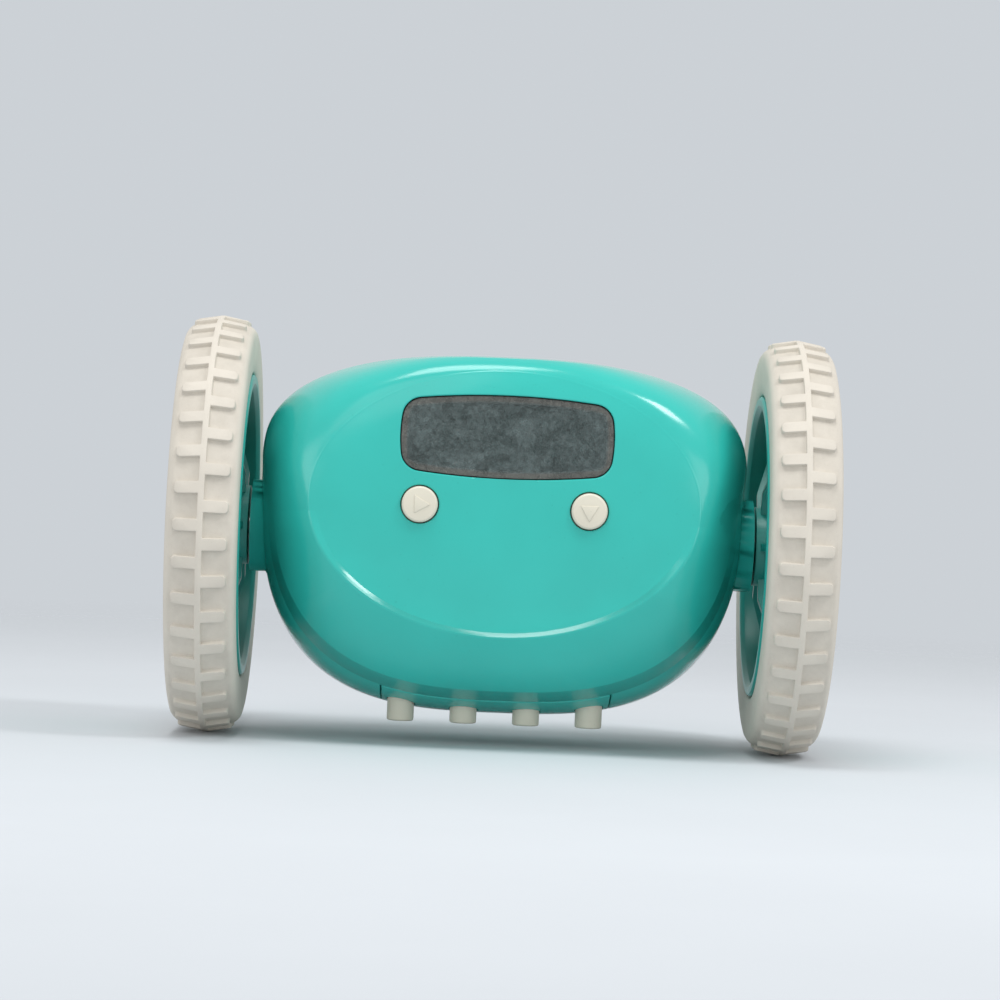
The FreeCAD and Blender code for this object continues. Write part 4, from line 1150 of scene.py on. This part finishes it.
class CLOCK_OT_stage(Builder):
    """Floor, lamps, world and camera"""

    bl_idname = "clock.stage"
    bl_label = "Stage"

    def build(self, colours, body, wheel):
        deselect()
        bpy.ops.mesh.primitive_plane_add(size=12, location=(0, 0, 0))
        floor = bpy.context.object
        floor.name = "studio_floor"
        settle(floor)
        floor.data.materials.append(pale_floor("studio_paper", tuple(colours.floor)))
        self.lamp("window_lamp", (0.56, -0.36, 0.80), size=0.22, power=2.6)
        self.lamp("top_lamp", (-0.12, -0.28, 1.05), size=0.42, power=4.4)
        self.lamp("front_lamp", (-0.35, -1.0, 0.75), size=0.6, power=1.3)
        self.lamp("low_left_lamp", (-0.75, -0.75, 0.22), size=0.4, power=0.9)
        self.lamp("low_right_lamp", (0.75, -0.75, 0.22), size=0.4, power=0.9)
        self.sky(tuple(colours.floor))
        self.camera()

    def lamp(self, name, place, size, power):
        """A square lamp that points at the middle of the clock."""
        deselect()
        bpy.ops.object.light_add(type="AREA", location=place)
        lamp = bpy.context.object
        lamp.name = name
        lamp.data.size = size
        lamp.data.energy = power
        aim = Vector((0, 0, AXLE)) - Vector(place)
        lamp.rotation_euler = aim.to_track_quat("-Z", "Y").to_euler()

    def sky(self, colour):
        """Even light for the object, and the floor's own tone where the camera sees past it."""
        strength = 0.70
        world = bpy.data.worlds.new("studio_world")
        bpy.context.scene.world = world
        world.use_nodes = True
        tree = world.node_tree
        tree.nodes.clear()
        rays = tree.nodes.new("ShaderNodeLightPath")
        seen = tree.nodes.new("ShaderNodeBackground")
        seen.inputs["Color"].default_value = (*colour, 1)
        glow = tree.nodes.new("ShaderNodeBackground")
        glow.inputs["Color"].default_value = (1, 1, 1, 1)
        glow.inputs["Strength"].default_value = strength
        blend = tree.nodes.new("ShaderNodeMixShader")
        output = tree.nodes.new("ShaderNodeOutputWorld")
        tree.links.new(rays.outputs["Is Camera Ray"], blend.inputs[0])
        tree.links.new(glow.outputs[0], blend.inputs[1])
        tree.links.new(seen.outputs[0], blend.inputs[2])
        tree.links.new(blend.outputs[0], output.inputs["Surface"])

    def camera(self):
        """A level view of the face from a little over the axle, with the photograph's slight tilt."""
        distance = 0.72
        sensor = 36
        focal = 3.36 * sensor
        roll = math.radians(2.48)
        yaw = math.radians(0.62)
        pitch = math.radians(0.1)
        aside = 0.67 * MM
        above = 7.6 * MM
        turn = Matrix.Rotation(pitch, 3, "X") @ Matrix.Rotation(yaw, 3, "Z")
        back = turn.transposed()
        right = back @ Vector((math.cos(roll), 0, math.sin(roll)))
        up = back @ Vector((-math.sin(roll), 0, math.cos(roll)))
        behind = back @ Vector((0, -1, 0))
        bpy.ops.object.camera_add()
        camera = bpy.context.object
        camera.name = "photo_camera"
        camera.data.sensor_width = sensor
        camera.data.lens = focal
        camera.data.clip_start = 0.01
        camera.data.clip_end = 50
        place = Vector((0, 0, AXLE)) + back @ Vector((-aside, -distance, above))
        basis = Matrix((right, up, behind)).transposed().to_4x4()
        camera.matrix_world = Matrix.Translation(place) @ basis
        bpy.context.scene.camera = camera
        bpy.context.scene.view_settings.view_transform = "Standard"


class CLOCK_PT_panel(bpy.types.Panel):
    """Lists the clock's sizes, colours and pieces"""

    bl_idname = "CLOCK_PT_panel"
    bl_label = "Runaway alarm clock"
    bl_space_type = "VIEW_3D"
    bl_region_type = "UI"
    bl_category = "Clock"

    def draw(self, context):
        layout = self.layout
        for group in (context.scene.clock_colours, context.scene.clock_body, context.scene.clock_wheel):
            box = layout.box()
            for name in group.__annotations__:
                box.prop(group, name)
        for operator in OPERATORS:
            layout.operator(operator.bl_idname)


OPERATORS = (
    CLOCK_OT_shells,
    CLOCK_OT_buttons,
    CLOCK_OT_tyres,
    CLOCK_OT_wheels,
    CLOCK_OT_drives,
    CLOCK_OT_display,
    CLOCK_OT_power,
    CLOCK_OT_fasteners,
    CLOCK_OT_stage,
)
GROUPS = {"clock_colours": ClockColours, "clock_body": BodySizes, "clock_wheel": WheelSizes}


def register():
    for group in GROUPS.values():
        bpy.utils.register_class(group)
    for name, group in GROUPS.items():
        setattr(bpy.types.Scene, name, bpy.props.PointerProperty(type=group))
    for operator in OPERATORS:
        bpy.utils.register_class(operator)
    bpy.utils.register_class(CLOCK_PT_panel)


def unregister():
    bpy.utils.unregister_class(CLOCK_PT_panel)
    for operator in reversed(OPERATORS):
        bpy.utils.unregister_class(operator)
    for name, group in GROUPS.items():
        delattr(bpy.types.Scene, name)
        bpy.utils.unregister_class(group)


def main():
    register()
    for operator in OPERATORS:
        group, name = operator.bl_idname.split(".")
        getattr(getattr(bpy.ops, group), name)()
    deselect()


if __name__ == "__main__":
    main()
